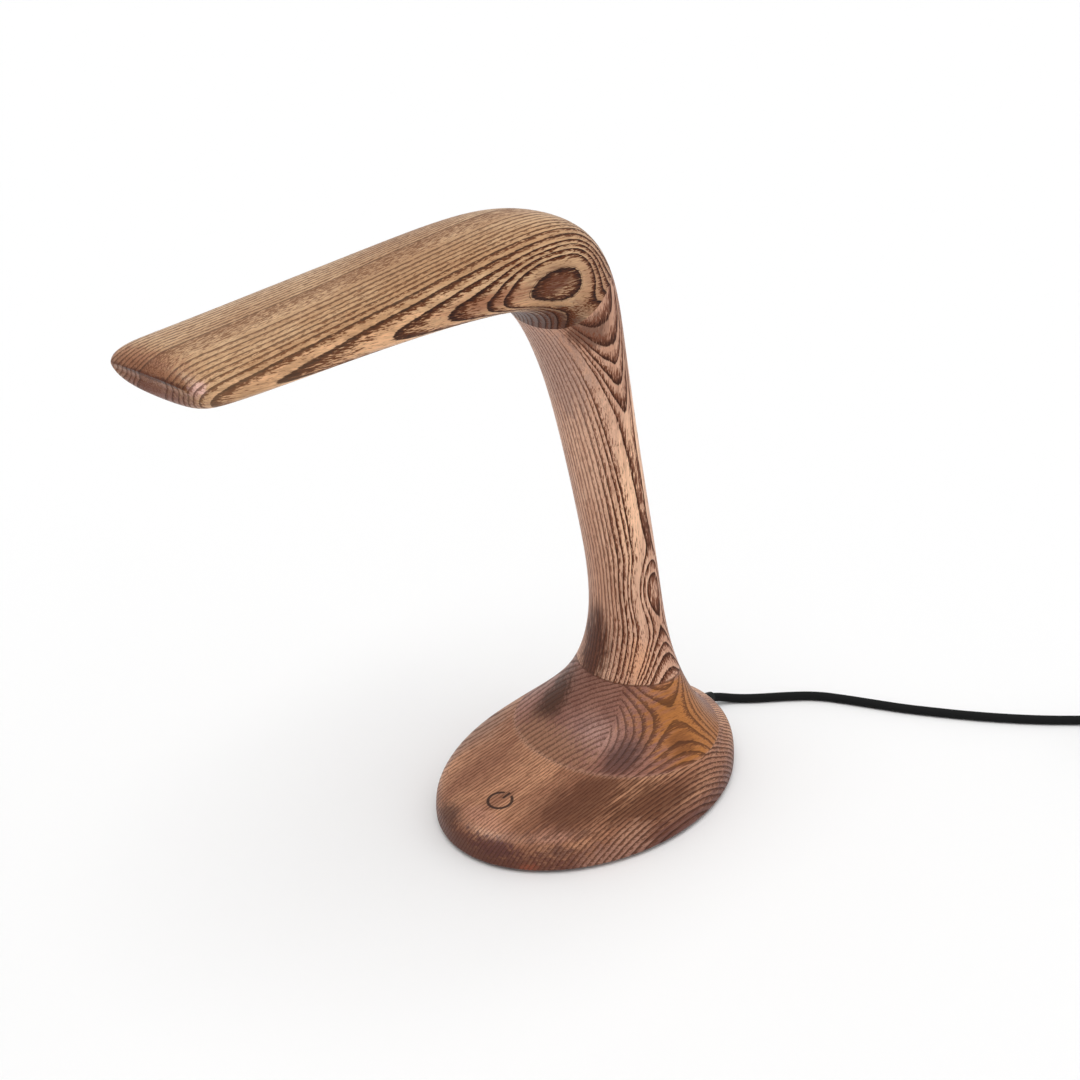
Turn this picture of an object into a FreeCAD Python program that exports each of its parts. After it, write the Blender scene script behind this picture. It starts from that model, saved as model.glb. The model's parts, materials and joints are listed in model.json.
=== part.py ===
"""Sculpted wooden desk lamp: four glued blocks of ash carved to one flowing form, with a lighting module
let into the underside of the head, touch control and driver in the base, and a textile mains lead.

Frame: millimetres, +Z up, origin on the standing surface under the middle of the base. The head points
along -X and the mains lead leaves along +X. The lamp is symmetrical about the plane y = 0.
"""

import FreeCAD, Part
import math
import os

Vector = FreeCAD.Vector
X, Y, Z = Vector(1, 0, 0), Vector(0, 1, 0), Vector(0, 0, 1)

# ---------------------------------------------------------------- driving dimensions
# Outer form
base_length = 219.0  # along X
base_width = 159.0  # along Y
neck_length = 154.0  # straight part of the neck, from its foot to the start of the elbow
head_length = 160.0  # straight part of the head, from the elbow to the rounded tip
head_width = 74.0
collar_joint_height = 33.0  # glue line between base slab and collar
neck_joint_height = 72.5  # glue line between collar and neck

# Foot pad and cover
pad_thickness = 1.5
pad_inset = 5.5
cover_thickness = 2.0
cover_inset = 9.0
cover_clearance = 0.3
cover_screw_inset = 13.0

# Hollows in the base slab
pocket_wall = 17.5  # wood left between the outline and the pocket
pocket_ceiling = 16.5
driver_bay_width = 60.0
driver_bay_ceiling = 27.0
driver_bay_lead_room = 17.0  # before the driver, where the leads spread
bay_corner_radius = 8.0
lead_groove_width = 12.0
lead_groove_ceiling = 21.0

# Wire bores
lead_bore_radius = 4.0
lead_bore_foot_inset = 7.0  # from the driver bay's rear wall, where the neck bore opens into it
lead_bore_elbow_x = -20.0  # where it meets the head bore
lead_radius = 1.8
lead_bend = 7.0
output_lead_radius = 1.5
lead_offset = 3.2  # the two leads lie this far each side of the middle of their groove
mains_wire_radius = 1.1
mains_wire_offset = 3.5

# Dowels and screws
dowel_radius = 4.0
dowel_gap = 0.1
collar_dowel_length = 24.0
neck_dowel_length = 30.0
mitre_dowel_length = 28.0
screw_gap = 0.05

# Ballast
ballast_thickness = 11.0
ballast_board_gap = 14.0  # from the touch board
ballast_rear_gap = 4.0  # from the driver bay's rear wall
ballast_clearance = 3.0
ballast_bay_margin = 4.0

# Touch control
touch_inset = 30.1  # from the base's front to the middle of the electrode
electrode_radius = 8.0
electrode_thickness = 0.5
electrode_recess_radius = 9.0
electrode_recess_ceiling = 21.0
touch_board_length = 28.0
touch_board_width = 27.0
board_thickness = 1.6
touch_standoff_height = 3.9
touch_standoff_radius = 2.4

# Driver and terminals
driver_length = 48.0
driver_width = 28.0
driver_height = 18.0
driver_bore_gap = 13.0  # from the driver to the middle of the neck bore
driver_ear_length = 5.0
driver_ear_thickness = 3.0
terminal_length = 15.0
terminal_width = 21.0
terminal_height = 12.0
terminal_gap = 4.0  # from the bay's rear wall

# Mains lead
cord_radius = 3.0
cord_axis_height = 8.0
floor_clearance = 0.1
bush_wall = 1.25
bush_flange_radius = 5.4
bush_flange = 1.5
bush_seat_gap = 0.3  # between the inner flange and the pocket's curved wall
bush_taper = [(0.0, 1.9), (2.5, 1.7), (7.0, 1.45), (11.5, 1.2), (15.5, 1.0)]  # x past the flange, and wall
clamp_length = 8.0
clamp_gap = 2.5  # to the terminal block, and to the rear wall of the pocket
clamp_width = 21.0
clamp_split = 0.6
clamp_bar_depth = 3.4

# Light module
module_length = 171.0
module_width = 24.0
module_depth = 9.5
slot_rise = 105.5  # roof of the module's slot above the top of the straight neck
module_clearance = 0.2
module_tip_margin = 24.0  # from the head's tip to the slot
channel_floor = 1.8
channel_wall = 1.6
channel_lip = 1.2
cap_thickness = 1.5
diffuser_thickness = 1.6
diffuser_gap = 0.2
led_board_length = 145.0
led_board_width = 14.0
led_length = 3.5
led_width = 2.8
led_height = 0.8
led_pitch = 6.0

# ---------------------------------------------------------------- outer form
# Each station is one closed section of the carved surface. It is given by the point on its front or
# under side, the point on its rear or upper side, its half width, and how square it is: 2 is an ellipse.
# Rim: insets from the base outline (front, rear, side) and heights (front, rear), from the bottom up.
rim = [
    (3.6, 3.0, 2.7, 1.5, 1.5),
    (0.9, 0.2, 0.0, 2.3, 2.3),
    (0.7, 0.0, 0.0, 6.0, 6.0),
    (0.7, -0.3, 0.5, 11.0, 11.0),
    (1.2, -0.2, 1.5, 15.0, 15.5),
    (3.9, 1.5, 3.2, 19.3, 21.2),
    (10.0, 5.7, 5.7, 22.9, 26.3),
    (25.2, 10.5, 7.7, 25.1, 29.2),
    (46.2, 14.9, 9.7, 27.5, 31.5),
    (68.1, 20.3, 12.7, 31.1, 34.1),
]
# Collar: front x, front z, rear x, rear z, half width.
collar = [
    (-21.4, 37.0, 82.4, 38.8, 61.0),
    (-4.9, 48.5, 74.8, 49.0, 50.2),
    (5.0, 62.4, 68.0, 62.9, 39.3),
]
# Neck: share of the neck's length, front x, rear x, how much higher the rear is, half width, squareness.
neck_foot = 81.8
neck = [
    (0.0, 11.5, 61.3, 0.2, 30.3, 2.0),
    (0.17, 15.0, 54.6, 0.0, 25.0, 2.0),
    (0.378, 12.0, 47.5, 0.0, 24.2, 2.0),
    (0.586, 3.7, 40.0, 0.0, 24.4, 2.0),
    (0.795, -5.0, 31.4, 0.2, 24.7, 2.0),
    (1.0, -14.2, 23.0, 1.6, 24.9, 2.1),
]
# Elbow: inner x, inner rise, outer x, outer rise above the top of the neck, inset of the half width.
elbow = [
    (-24.1, 29.6, 14.9, 35.2, 11.3, 2.15),
    (-34.2, 52.7, 6.3, 67.3, 9.1, 2.2),
    (-43.8, 69.8, -4.3, 101.2, 5.7, 2.3),
    (-56.0, 82.9, -25.5, 129.5, 2.1, 2.4),
    (-75.4, 90.4, -58.5, 139.2, 0.1, 2.5),
]
# Head: share of the head's length, underside and top rise, lean of the section, inset, squareness.
head_root = -103.0
head = [
    (0.0, 93.6, 136.7, 7.0, 0.0, 2.6),
    (0.27, 94.8, 130.7, 0.0, 0.3, 2.65),
    (0.56, 94.2, 124.7, -2.1, 0.5, 2.7),
    (0.845, 92.5, 118.8, -3.1, 1.1, 2.8),
    (1.0, 91.4, 116.4, -2.6, 2.2, 2.8),
]
# Tip: distance beyond the head's straight part, underside and top rise, lean, inset, squareness.
tip = [
    (14.0, 91.4, 115.1, -1.3, 3.1, 2.8),
    (21.0, 95.5, 111.8, -2.1, 5.7, 2.8),
    (22.6, 101.7, 106.6, -3.2, 9.4, 2.6),
]
ring_points = 16  # control points round each section

half_length = base_length / 2
half_width = base_width / 2
neck_top = neck_foot + neck_length
slot_roof = neck_top + slot_rise
head_bore_height = slot_roof - 5.5
mitre_inner = Vector(-47.6, 0, neck_top + 73.3)  # inner end of the 45 degree mitre
tip_x = head_root - head_length - tip[-1][0]
pocket_length = half_length - pocket_wall
pocket_width = half_width - pocket_wall
cover_top = pad_thickness + cover_thickness

# Along the base, from its rear: cord clamp, terminal block, driver bay. From its front: touch control, ballast.
clamp_front = pocket_length - clamp_gap - clamp_length
terminal_front = clamp_front - clamp_gap - terminal_length
driver_bay_rear = terminal_front - terminal_gap
touch_x = touch_inset - half_length
touch_board_front = touch_x - 9.6
touch_board_rear = touch_board_front + touch_board_length
lead_bore_foot_x = driver_bay_rear - lead_bore_foot_inset
driver_front = lead_bore_foot_x - driver_bore_gap - driver_length
driver_bay_front = driver_front - driver_bay_lead_room
ballast_front = touch_board_rear + ballast_board_gap
ballast_rear = driver_bay_rear - ballast_rear_gap


def stations():
    """All sections of the outer form from the bottom of the base to the tip of the head."""
    rows = []
    for front, rear, side, front_z, rear_z in rim:
        rows.append((front - half_length, front_z, half_length - rear, rear_z, half_width - side, 2.0))
    for front_x, front_z, rear_x, rear_z, width in collar:
        rows.append((front_x, front_z, rear_x, rear_z, width, 2.0))
    for share, front_x, rear_x, lift, width, square in neck:
        height = neck_foot + share * neck_length
        rows.append((front_x, height, rear_x, height + lift, width, square))
    for inner_x, inner_rise, outer_x, outer_rise, inset, square in elbow:
        rows.append((inner_x, neck_top + inner_rise, outer_x, neck_top + outer_rise,
                     head_width / 2 - inset, square))
    along = [(head_root - row[0] * head_length, row[1:]) for row in head]
    along += [(head_root - head_length - row[0], row[1:]) for row in tip]
    for x, (under, top, lean, inset, square) in along:
        rows.append((x - lean / 2, neck_top + under, x + lean / 2, neck_top + top,
                     head_width / 2 - inset, square))
    return rows


def section_poles(row):
    """Control points round one section, on a superellipse scaled so that the curve keeps its size."""
    front_x, front_z, rear_x, rear_z, width, square = row
    middle = Vector(front_x + rear_x, 0, front_z + rear_z) / 2
    across = Vector(front_x - rear_x, 0, front_z - rear_z) / 2
    outside = 3 / (2 + math.cos(2 * math.pi / ring_points))
    points = []
    for k in range(ring_points):
        angle = 2 * math.pi * k / ring_points
        c, s = math.cos(angle), math.sin(angle)
        ahead = math.copysign(abs(c) ** (2 / square), c) * outside
        aside = math.copysign(abs(s) ** (2 / square), s) * outside
        points.append(middle + across * ahead + Y * (-width * aside))
    return points


def carved_form():
    """The whole outside as one solid: a cubic B-spline skin over the sections, closed at both ends."""
    rings = [section_poles(row) for row in stations()]
    first = [(a * 2 + b) / 3 for a, b in zip(rings[0], rings[1])]
    last = [(a * 2 + b) / 3 for a, b in zip(rings[-1], rings[-2])]
    spans = len(rings) - 1
    rings = [rings[0], first] + rings[1:-1] + [last, rings[-1]]
    surface = Part.BSplineSurface()
    surface.buildFromPolesMultsKnots(
        rings,
        [4] + [1] * (spans - 1) + [4],
        [1] * (ring_points + 1),
        list(range(spans + 1)),
        list(range(ring_points + 1)),
        False,
        True,
        3,
        3,
    )
    skin = surface.toShape()
    ends = []
    for u in (0, spans):
        curve = surface.uIso(u)
        ends.append(Part.Face(Part.Wire(curve.toShape())))
    shell = Part.makeShell([skin] + ends)
    shell.sewShape()
    solid = Part.Solid(shell)
    if solid.Volume < 0:
        solid.reverse()
    return solid


# ---------------------------------------------------------------- helpers
def box(x0, x1, y0, y1, z0, z1):
    return Part.makeBox(x1 - x0, y1 - y0, z1 - z0, Vector(x0, y0, z0))


def rounded_box(x0, x1, y0, y1, z0, z1, radius):
    """A box with its four upright edges rounded."""
    block = box(x0, x1, y0, y1, z0, z1)
    upright = [e for e in block.Edges if abs(e.tangentAt(e.FirstParameter).z) > 0.9]
    return block.makeFillet(radius, upright)


def soft_box(x0, x1, y0, y1, z0, z1, radius):
    """A box with every edge rounded, as a moulding."""
    block = box(x0, x1, y0, y1, z0, z1)
    return block.makeFillet(radius, block.Edges)


def rod(start, end, radius):
    direction = end - start
    return Part.makeCylinder(radius, direction.Length, start, direction)


def oval_plate(a, b, z0, z1):
    """An upright elliptical plate about the Z axis."""
    ellipse = Part.Ellipse(Vector(0, 0, z0), a, b)
    face = Part.Face(Part.Wire(ellipse.toShape()))
    return face.extrude(Z * (z1 - z0))


def turned(profile, origin, axis):
    """A solid of revolution. The profile is a list of (distance along the axis, radius)."""
    axis = Vector(axis).normalize()
    side = axis.cross(Y if abs(axis.y) < 0.9 else X).normalize()
    points = [origin + axis * along + side * radius for along, radius in profile]
    face = Part.Face(Part.makePolygon(points + [points[0]]))
    return face.revolve(origin, axis, 360)


def screw(seat, direction, length, radius, countersunk=True):
    """A wood screw. Its seat is the middle of its head's outer face, and it points along direction."""
    head = 2 * radius
    if countersunk:
        profile = [(0, 0), (0, head), (0.35 * radius, head), (1.35 * radius, radius)]
    else:
        profile = [(0, 0), (0, 0.7 * head), (0.3 * head, head), (0.8 * head, head), (0.8 * head, radius)]
    profile += [(length - 1.5 * radius, radius), (length, 0)]
    return turned(profile, seat, direction)


def screw_hole(seat, direction, length, radius, countersunk=True):
    """The hole that a screw of this size needs."""
    start = Vector(seat) - Vector(direction) * 0.01
    return screw(start, direction, length + 2 * screw_gap, radius + screw_gap, countersunk)


def cut_all(solid, tools):
    return solid.cut(Part.makeCompound(tools)) if tools else solid


def corner_radii(points, largest):
    """Radius of the arc at each inner point: 0.45 of the shorter run over the tangent of half the turn."""
    radii = []
    for before, point, after in zip(points, points[1:], points[2:]):
        arriving, leaving = point - before, after - point
        turn = arriving.getAngle(leaving)
        shorter = min(arriving.Length, leaving.Length)
        radii.append(min(largest, 0.45 * shorter / math.tan(turn / 2)))
    return radii


def tube_path(points, largest=1e6):
    """Straight runs joined by tangent arcs, as one wire."""
    points = [Vector(*p) for p in points]
    radii = corner_radii(points, largest)
    edges = []
    start = points[0]
    for before, point, after, bend in zip(points, points[1:], points[2:], radii):
        arriving = (point - before).normalize()
        leaving = (after - point).normalize()
        turn = arriving.getAngle(leaving)
        reach = bend * math.tan(turn / 2)
        entry, leave = point - arriving * reach, point + leaving * reach
        inward = (leaving - arriving).normalize()
        middle = point + inward * (bend / math.cos(turn / 2) - bend)
        if (entry - start).Length > 1e-6:
            edges.append(Part.LineSegment(start, entry).toShape())
        edges.append(Part.Arc(entry, middle, leave).toShape())
        start = leave
    edges.append(Part.LineSegment(start, points[-1]).toShape())
    return Part.Wire(edges)


def path_at(path, x):
    """The point and heading of the path where it first crosses the upright plane at x."""
    for edge in path.Edges:
        low, high = edge.ParameterRange
        if edge.valueAt(high).x >= x:
            for _ in range(40):
                middle = (low + high) / 2
                low, high = (middle, high) if edge.valueAt(middle).x < x else (low, middle)
            return edge.valueAt(low), edge.tangentAt(low)
    raise ValueError("the path doesn't reach that far")


def tube(points, radius, largest=1e6, name=None):
    """A round tube along straight runs joined by tangent arcs."""
    path = tube_path(points, largest)
    points = [Vector(*p) for p in points]
    radii = corner_radii(points, largest)
    heading = (points[1] - points[0]).normalize()
    circle = Part.Wire(Part.Circle(points[0], heading, radius).toShape())
    solid = path.makePipeShell([circle], True, False)
    if solid.Volume < 0:
        solid.reverse()
    if name:
        expected = math.pi * radius**2 * path.Length
        print(f"{name}: length {path.Length:.1f}, radii", [round(r, 1) for r in radii],
              f"volume {solid.Volume:.0f} of {expected:.0f}")
    return solid


# ---------------------------------------------------------------- places shared by several pieces
def bore_foot():
    return Vector(lead_bore_foot_x, 0, driver_bay_ceiling)


def bore_elbow():
    return Vector(lead_bore_elbow_x, 0, head_bore_height)


def on_bore(z):
    """The point of the neck bore's axis at height z."""
    foot, top = bore_foot(), bore_elbow()
    return foot + (top - foot) * ((z - foot.z) / (top.z - foot.z))


slot_tip = tip_x + module_tip_margin
slot_root = slot_tip + module_length
module_mouth = slot_roof - module_clearance - module_depth
module_roof = slot_roof - module_clearance
board_under = module_roof - channel_floor - board_thickness


def oval_places(inset, angles):
    """Points on the base outline moved in by the inset, at angles in degrees."""
    a, b = half_length - inset, half_width - inset
    return [(a * math.cos(math.radians(d)), b * math.sin(math.radians(d))) for d in angles]


cover_screw_size = (12.0, 1.75)  # length, shank radius
cover_screw_places = oval_places(cover_screw_inset, [30, 90, 150, 210, 270, 330])
ballast_screw_size = (19.0, 2.0)
ballast_arm_middle = (driver_bay_width / 2 + ballast_bay_margin + pocket_width - ballast_clearance) / 2
ballast_screw_places = [(x, y) for x in (ballast_front + 24, ballast_rear - 24)
                        for y in (-ballast_arm_middle, ballast_arm_middle)]
driver_screw_size = (11.0, 1.5)
terminal_screw_size = (20.0, 1.5)
clamp_screw_size = (19.0, 1.5)
clamp_screw_offset = 7.6
touch_screw_size = (12.0, 1.1)
touch_screw_places = [(touch_x + 13.4, 9.5), (touch_x + 13.4, -9.5), (touch_x - 4.6, 11.0), (touch_x - 4.6, -11.0)]
channel_screw_size = (10.0, 1.5)
channel_screw_inset = 6.5
led_screw_size = (3.0, 0.8)
led_screw_offset = 5.0

touch_board_top = pocket_ceiling - touch_standoff_height
touch_board_under = touch_board_top - board_thickness


def driver_screw_places():
    middle = driver_ear_length / 2
    return [(driver_front - middle, 0), (driver_front + driver_length + middle, 0)]


def cover_screw_list(make):
    return [make(Vector(x, y, pad_thickness), Z, *cover_screw_size) for x, y in cover_screw_places]


def ballast_screw_list(make):
    under = pocket_ceiling - ballast_thickness
    return [make(Vector(x, y, under), Z, *ballast_screw_size) for x, y in ballast_screw_places]


def driver_screw_list(make):
    seat = driver_bay_ceiling - driver_ear_thickness - 0.8 * 2 * driver_screw_size[1]
    return [make(Vector(x, y, seat), Z, *driver_screw_size, False) for x, y in driver_screw_places()]


def terminal_screw_list(make):
    seat = Vector(terminal_front + terminal_length / 2, 0, pocket_ceiling - terminal_height)
    return [make(seat, Z, *terminal_screw_size)]


def clamp_under():
    return cord_axis_height - clamp_split / 2 - clamp_bar_depth


def clamp_screw_list(make):
    x = clamp_front + clamp_length / 2
    return [make(Vector(x, y, clamp_under()), Z, *clamp_screw_size)
            for y in (-clamp_screw_offset, clamp_screw_offset)]


def touch_screw_list(make):
    seat = touch_board_under - 0.8 * 2 * touch_screw_size[1]
    return [make(Vector(x, y, seat), Z, *touch_screw_size, False) for x, y in touch_screw_places]


def channel_screw_list(make):
    seat = module_roof - channel_floor - 0.1
    places = (slot_tip + channel_screw_inset, slot_root - channel_screw_inset)
    return [make(Vector(x, 0, seat), Z, *channel_screw_size) for x in places]


# ---------------------------------------------------------------- joints between the blocks
collar_dowel_places = [(17.0, 38.0), (17.0, -38.0), (55.0, 38.0), (55.0, -38.0)]
neck_dowel_places = [(36.5, 20.0), (36.5, -20.0)]
mitre_dowel_offset = 18.0
mitre_dowel_along = 25.0  # from the mitre's inner end, along the joint


def dowel_lines():
    """For each joint, the middle and direction of its dowels, and their length."""
    mitre_normal = Vector(-1, 0, 1).normalize()
    mitre_middle = mitre_inner + Vector(1, 0, 1).normalize() * mitre_dowel_along
    return {
        "collar_dowels": ([Vector(x, y, collar_joint_height) for x, y in collar_dowel_places],
                          Z, collar_dowel_length),
        "neck_dowels": ([Vector(x, y, neck_joint_height) for x, y in neck_dowel_places],
                        Z, neck_dowel_length),
        "mitre_dowels": ([mitre_middle + Y * y for y in (-mitre_dowel_offset, mitre_dowel_offset)],
                         mitre_normal, mitre_dowel_length),
    }


def dowels(name, gap=0.0):
    """The beech dowels of one joint, or with a gap, the holes that they are glued into."""
    middles, direction, length = dowel_lines()[name]
    reach = direction * (length / 2 + gap)
    return [rod(m - reach, m + reach, dowel_radius + gap) for m in middles]


# ---------------------------------------------------------------- wooden blocks
def neck_bore():
    corner = bore_elbow()
    ball = Part.makeSphere(lead_bore_radius, corner)
    return rod(on_bore(driver_bay_ceiling - 3), corner, lead_bore_radius).fuse(ball)


def head_bore():
    return rod(bore_elbow(), Vector(slot_root - 1, 0, head_bore_height), lead_bore_radius)


def module_slot():
    return box(slot_tip, slot_root, -module_width / 2 - module_clearance, module_width / 2 + module_clearance,
               slot_roof - 40, slot_roof)


def above_mitre():
    """Everything on the head's side of the mitre, as a large block turned by 45 degrees."""
    size = 600.0
    block = Part.makeBox(size, size, size, Vector(-size / 2, -size / 2, 0))
    block.rotate(Vector(0, 0, 0), Y, -45)
    block.translate(mitre_inner)
    return block


def layer(z0, z1):
    size = 800.0
    return box(-size, size, -size, size, z0, z1)


def base_hollows():
    """Everything routed or drilled into the underside and rear of the base slab."""
    low = pad_thickness - 1
    touch_recess = Part.makeCylinder(electrode_recess_radius, electrode_recess_ceiling - cover_top + 1,
                                     Vector(touch_x, 0, cover_top - 1))
    groove = box(touch_x, driver_bay_front + 1, -lead_groove_width / 2, lead_groove_width / 2,
                 pocket_ceiling - 1, lead_groove_ceiling)
    bay = rounded_box(driver_bay_front, driver_bay_rear, -driver_bay_width / 2, driver_bay_width / 2,
                      cover_top, driver_bay_ceiling, bay_corner_radius)
    cord_hole = rod(Vector(pocket_length - 8, 0, cord_axis_height), Vector(half_length + 5, 0, cord_axis_height),
                    cord_radius + bush_wall + 0.1)
    return [
        oval_plate(half_length - cover_inset, half_width - cover_inset, low, cover_top),
        oval_plate(pocket_length, pocket_width, low, pocket_ceiling),
        touch_recess,
        groove,
        bay,
        cord_hole,
    ]


def base_slab(form):
    holes = base_hollows() + [neck_bore()] + dowels("collar_dowels", dowel_gap)
    for fasteners in (cover_screw_list, ballast_screw_list, driver_screw_list, terminal_screw_list,
                      clamp_screw_list, touch_screw_list):
        holes += fasteners(screw_hole)
    return cut_all(form.common(layer(-1, collar_joint_height)), holes)


def collar_block(form):
    holes = [neck_bore()] + dowels("collar_dowels", dowel_gap) + dowels("neck_dowels", dowel_gap)
    for fasteners in (driver_screw_list, terminal_screw_list):
        holes += fasteners(screw_hole)
    return cut_all(form.common(layer(collar_joint_height, neck_joint_height)), holes)


def neck_block(form):
    holes = [neck_bore()] + dowels("neck_dowels", dowel_gap) + dowels("mitre_dowels", dowel_gap)
    upper = form.common(layer(neck_joint_height, neck_top + 200))
    return cut_all(upper.cut(above_mitre()), holes)


def head_block(form):
    holes = [neck_bore(), head_bore(), module_slot()] + dowels("mitre_dowels", dowel_gap)
    holes += channel_screw_list(screw_hole)
    upper = form.common(layer(neck_joint_height, neck_top + 200))
    return cut_all(upper.common(above_mitre()), holes)


# ---------------------------------------------------------------- underside of the base
def base_pad():
    """Rubber sheet that the lamp stands on."""
    return oval_plate(half_length - pad_inset, half_width - pad_inset, 0, pad_thickness)


def bottom_cover():
    """Steel sheet let into the base."""
    inset = cover_inset + cover_clearance
    plate = oval_plate(half_length - inset, half_width - inset, pad_thickness, cover_top)
    return cut_all(plate, cover_screw_list(screw_hole))


def ballast_plate():
    """Steel weight, cut out round the driver and open towards the mains lead."""
    under = pocket_ceiling - ballast_thickness
    plate = oval_plate(pocket_length - ballast_clearance, pocket_width - ballast_clearance, under, pocket_ceiling)
    plate = plate.common(box(ballast_front, ballast_rear, -half_width, half_width, 0, 50))
    side = driver_bay_width / 2 + ballast_bay_margin
    front = driver_front - driver_ear_length - ballast_bay_margin
    window = rounded_box(front, half_length, -side, side, 0, 50, bay_corner_radius)
    return cut_all(plate, [window] + ballast_screw_list(screw_hole))


# ---------------------------------------------------------------- touch control
def touch_electrode():
    top = electrode_recess_ceiling
    return Part.makeCylinder(electrode_radius, electrode_thickness, Vector(touch_x, 0, top - electrode_thickness))


def touch_spring():
    """Bent leaf of phosphor bronze between the board and the electrode."""
    strip, width = 0.3, 4.0
    low, high = touch_board_top, electrode_recess_ceiling - electrode_thickness
    line = [
        (touch_x - 5, low), (touch_x + 1, low), (touch_x + 1.5, low + strip),
        (touch_x - 1.5, high - strip), (touch_x + 5, high - strip), (touch_x + 5, high),
        (touch_x - 2, high), (touch_x - 2.2, high - strip), (touch_x + 0.8, low + strip), (touch_x - 5, low + strip),
    ]
    face = Part.Face(Part.makePolygon([Vector(x, -width / 2, z) for x, z in line + line[:1]]))
    return face.extrude(Y * width)


def touch_board():
    board = box(touch_board_front, touch_board_rear,
                -touch_board_width / 2, touch_board_width / 2, touch_board_under, touch_board_top)
    return cut_all(board, touch_screw_list(screw_hole))


def touch_board_parts():
    """Controller, power transistor, two capacitors and a lead connector, on the board's lower face."""
    top = touch_board_under
    middle = touch_x + 3
    chips = [
        box(middle - 8, middle - 1, -3, 3, top - 1.7, top),
        box(middle + 3, middle + 9, -8, -2, top - 2.4, top),
        soft_box(middle + 6, middle + 11, -0.8, 6.8, top - 4.0, top, 0.4),
    ]
    cans = [rod(Vector(middle - 2, y, top - 4.2), Vector(middle - 2, y, top), 2.0) for y in (-8.5, 8.0)]
    return Part.makeCompound(chips + cans)


def touch_standoffs():
    rings = []
    for x, y in touch_screw_places:
        foot, head = Vector(x, y, touch_board_top), Vector(x, y, pocket_ceiling)
        rings.append(rod(foot, head, touch_standoff_radius).cut(rod(foot, head, touch_screw_size[1] + screw_gap)))
    return Part.makeCompound(rings)


# ---------------------------------------------------------------- driver and mains connection
def led_driver():
    """Moulded driver with a screwed ear at each end, hung from the roof of its bay."""
    top, rear = driver_bay_ceiling - 1, driver_front + driver_length
    body = soft_box(driver_front, rear, -driver_width / 2, driver_width / 2, top - driver_height, top, 1.5)
    ear = driver_bay_ceiling - driver_ear_thickness
    ears = rounded_box(driver_front - driver_ear_length, rear + driver_ear_length, -5, 5,
                       ear, driver_bay_ceiling, 2.0)
    return cut_all(body.fuse(ears), driver_screw_list(screw_hole))


def terminal_block():
    """Two-way terminal block with wire entries at both ends and a clamping screw over each."""
    under = pocket_ceiling - terminal_height
    rear = terminal_front + terminal_length
    block = rounded_box(terminal_front, rear, -terminal_width / 2, terminal_width / 2, under, pocket_ceiling, 1.0)
    cuts = terminal_screw_list(screw_hole)
    for y in (-mains_wire_offset - 2.5, mains_wire_offset + 2.5):
        for x in (terminal_front + 4, rear - 4):
            cuts.append(rod(Vector(x, y, under - 1), Vector(x, y, under + 2), 1.6))
    for y in (-mains_wire_offset, mains_wire_offset):
        start = Vector(terminal_front - 1, y, cord_axis_height)
        cuts.append(rod(start, start + X * 5, mains_wire_radius + 0.05))
    return cut_all(block, cuts)


def mains_wires():
    """Brown and blue wires from the terminal block to the driver."""
    rear = driver_front + driver_length
    high = cord_axis_height + 6
    wires = []
    for y in (-mains_wire_offset, mains_wire_offset):
        line = [(terminal_front + 4, y, cord_axis_height), (terminal_front - 8, y, cord_axis_height),
                (rear + 9, y, high), (rear, y, high)]
        wires.append(tube(line, mains_wire_radius, 6.0))
    return wires


def clamp_cord_way():
    return rod(Vector(clamp_front - 1, 0, cord_axis_height),
               Vector(clamp_front + clamp_length + 1, 0, cord_axis_height), cord_radius)


def cord_clamp_block():
    """Upper half of the cord grip, against the roof of the pocket."""
    block = box(clamp_front, clamp_front + clamp_length, -clamp_width / 2, clamp_width / 2,
                cord_axis_height + clamp_split / 2, pocket_ceiling)
    return cut_all(block, [clamp_cord_way()] + clamp_screw_list(screw_hole))


def cord_clamp_bar():
    """Lower half of the cord grip, drawn up by two screws."""
    bar = rounded_box(clamp_front, clamp_front + clamp_length, -clamp_width / 2, clamp_width / 2,
                      clamp_under(), cord_axis_height - clamp_split / 2, 2.0)
    return cut_all(bar, [clamp_cord_way()] + clamp_screw_list(screw_hole))


def cord_bush():
    """Strain relief: a flanged sleeve through the rear wall, and a taper that bends down with the cord."""
    sleeve, inner = cord_radius + bush_wall, cord_radius
    inside, outside = pocket_length - bush_seat_gap, half_length + 0.3
    profile = [
        (inside - bush_flange, inner), (inside - bush_flange, bush_flange_radius - 1.0),
        (inside, bush_flange_radius - 1.0), (inside, sleeve), (outside, sleeve),
        (outside, bush_flange_radius), (outside + bush_flange - 0.3, bush_flange_radius - 0.3),
        (cord_start, bush_flange_radius - 0.6), (cord_start, inner),
    ]
    path = tube_path(cord_route)
    rings = []
    for beyond, wall in bush_taper:
        place, heading = path_at(path, cord_start + beyond)
        rings.append(Part.Wire(Part.Circle(place, heading, cord_radius + wall).toShape()))
    taper = Part.makeLoft(rings, True, False).cut(tube(cord_route, cord_radius))
    return turned(profile, Vector(0, 0, cord_axis_height), X).fuse(taper)


def cord_inner_end():
    """The mains lead inside the base, from its bush to the terminal block."""
    start = Vector(terminal_front + terminal_length, 0, cord_axis_height)
    return rod(start, Vector(cord_start, 0, cord_axis_height), cord_radius)


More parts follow.
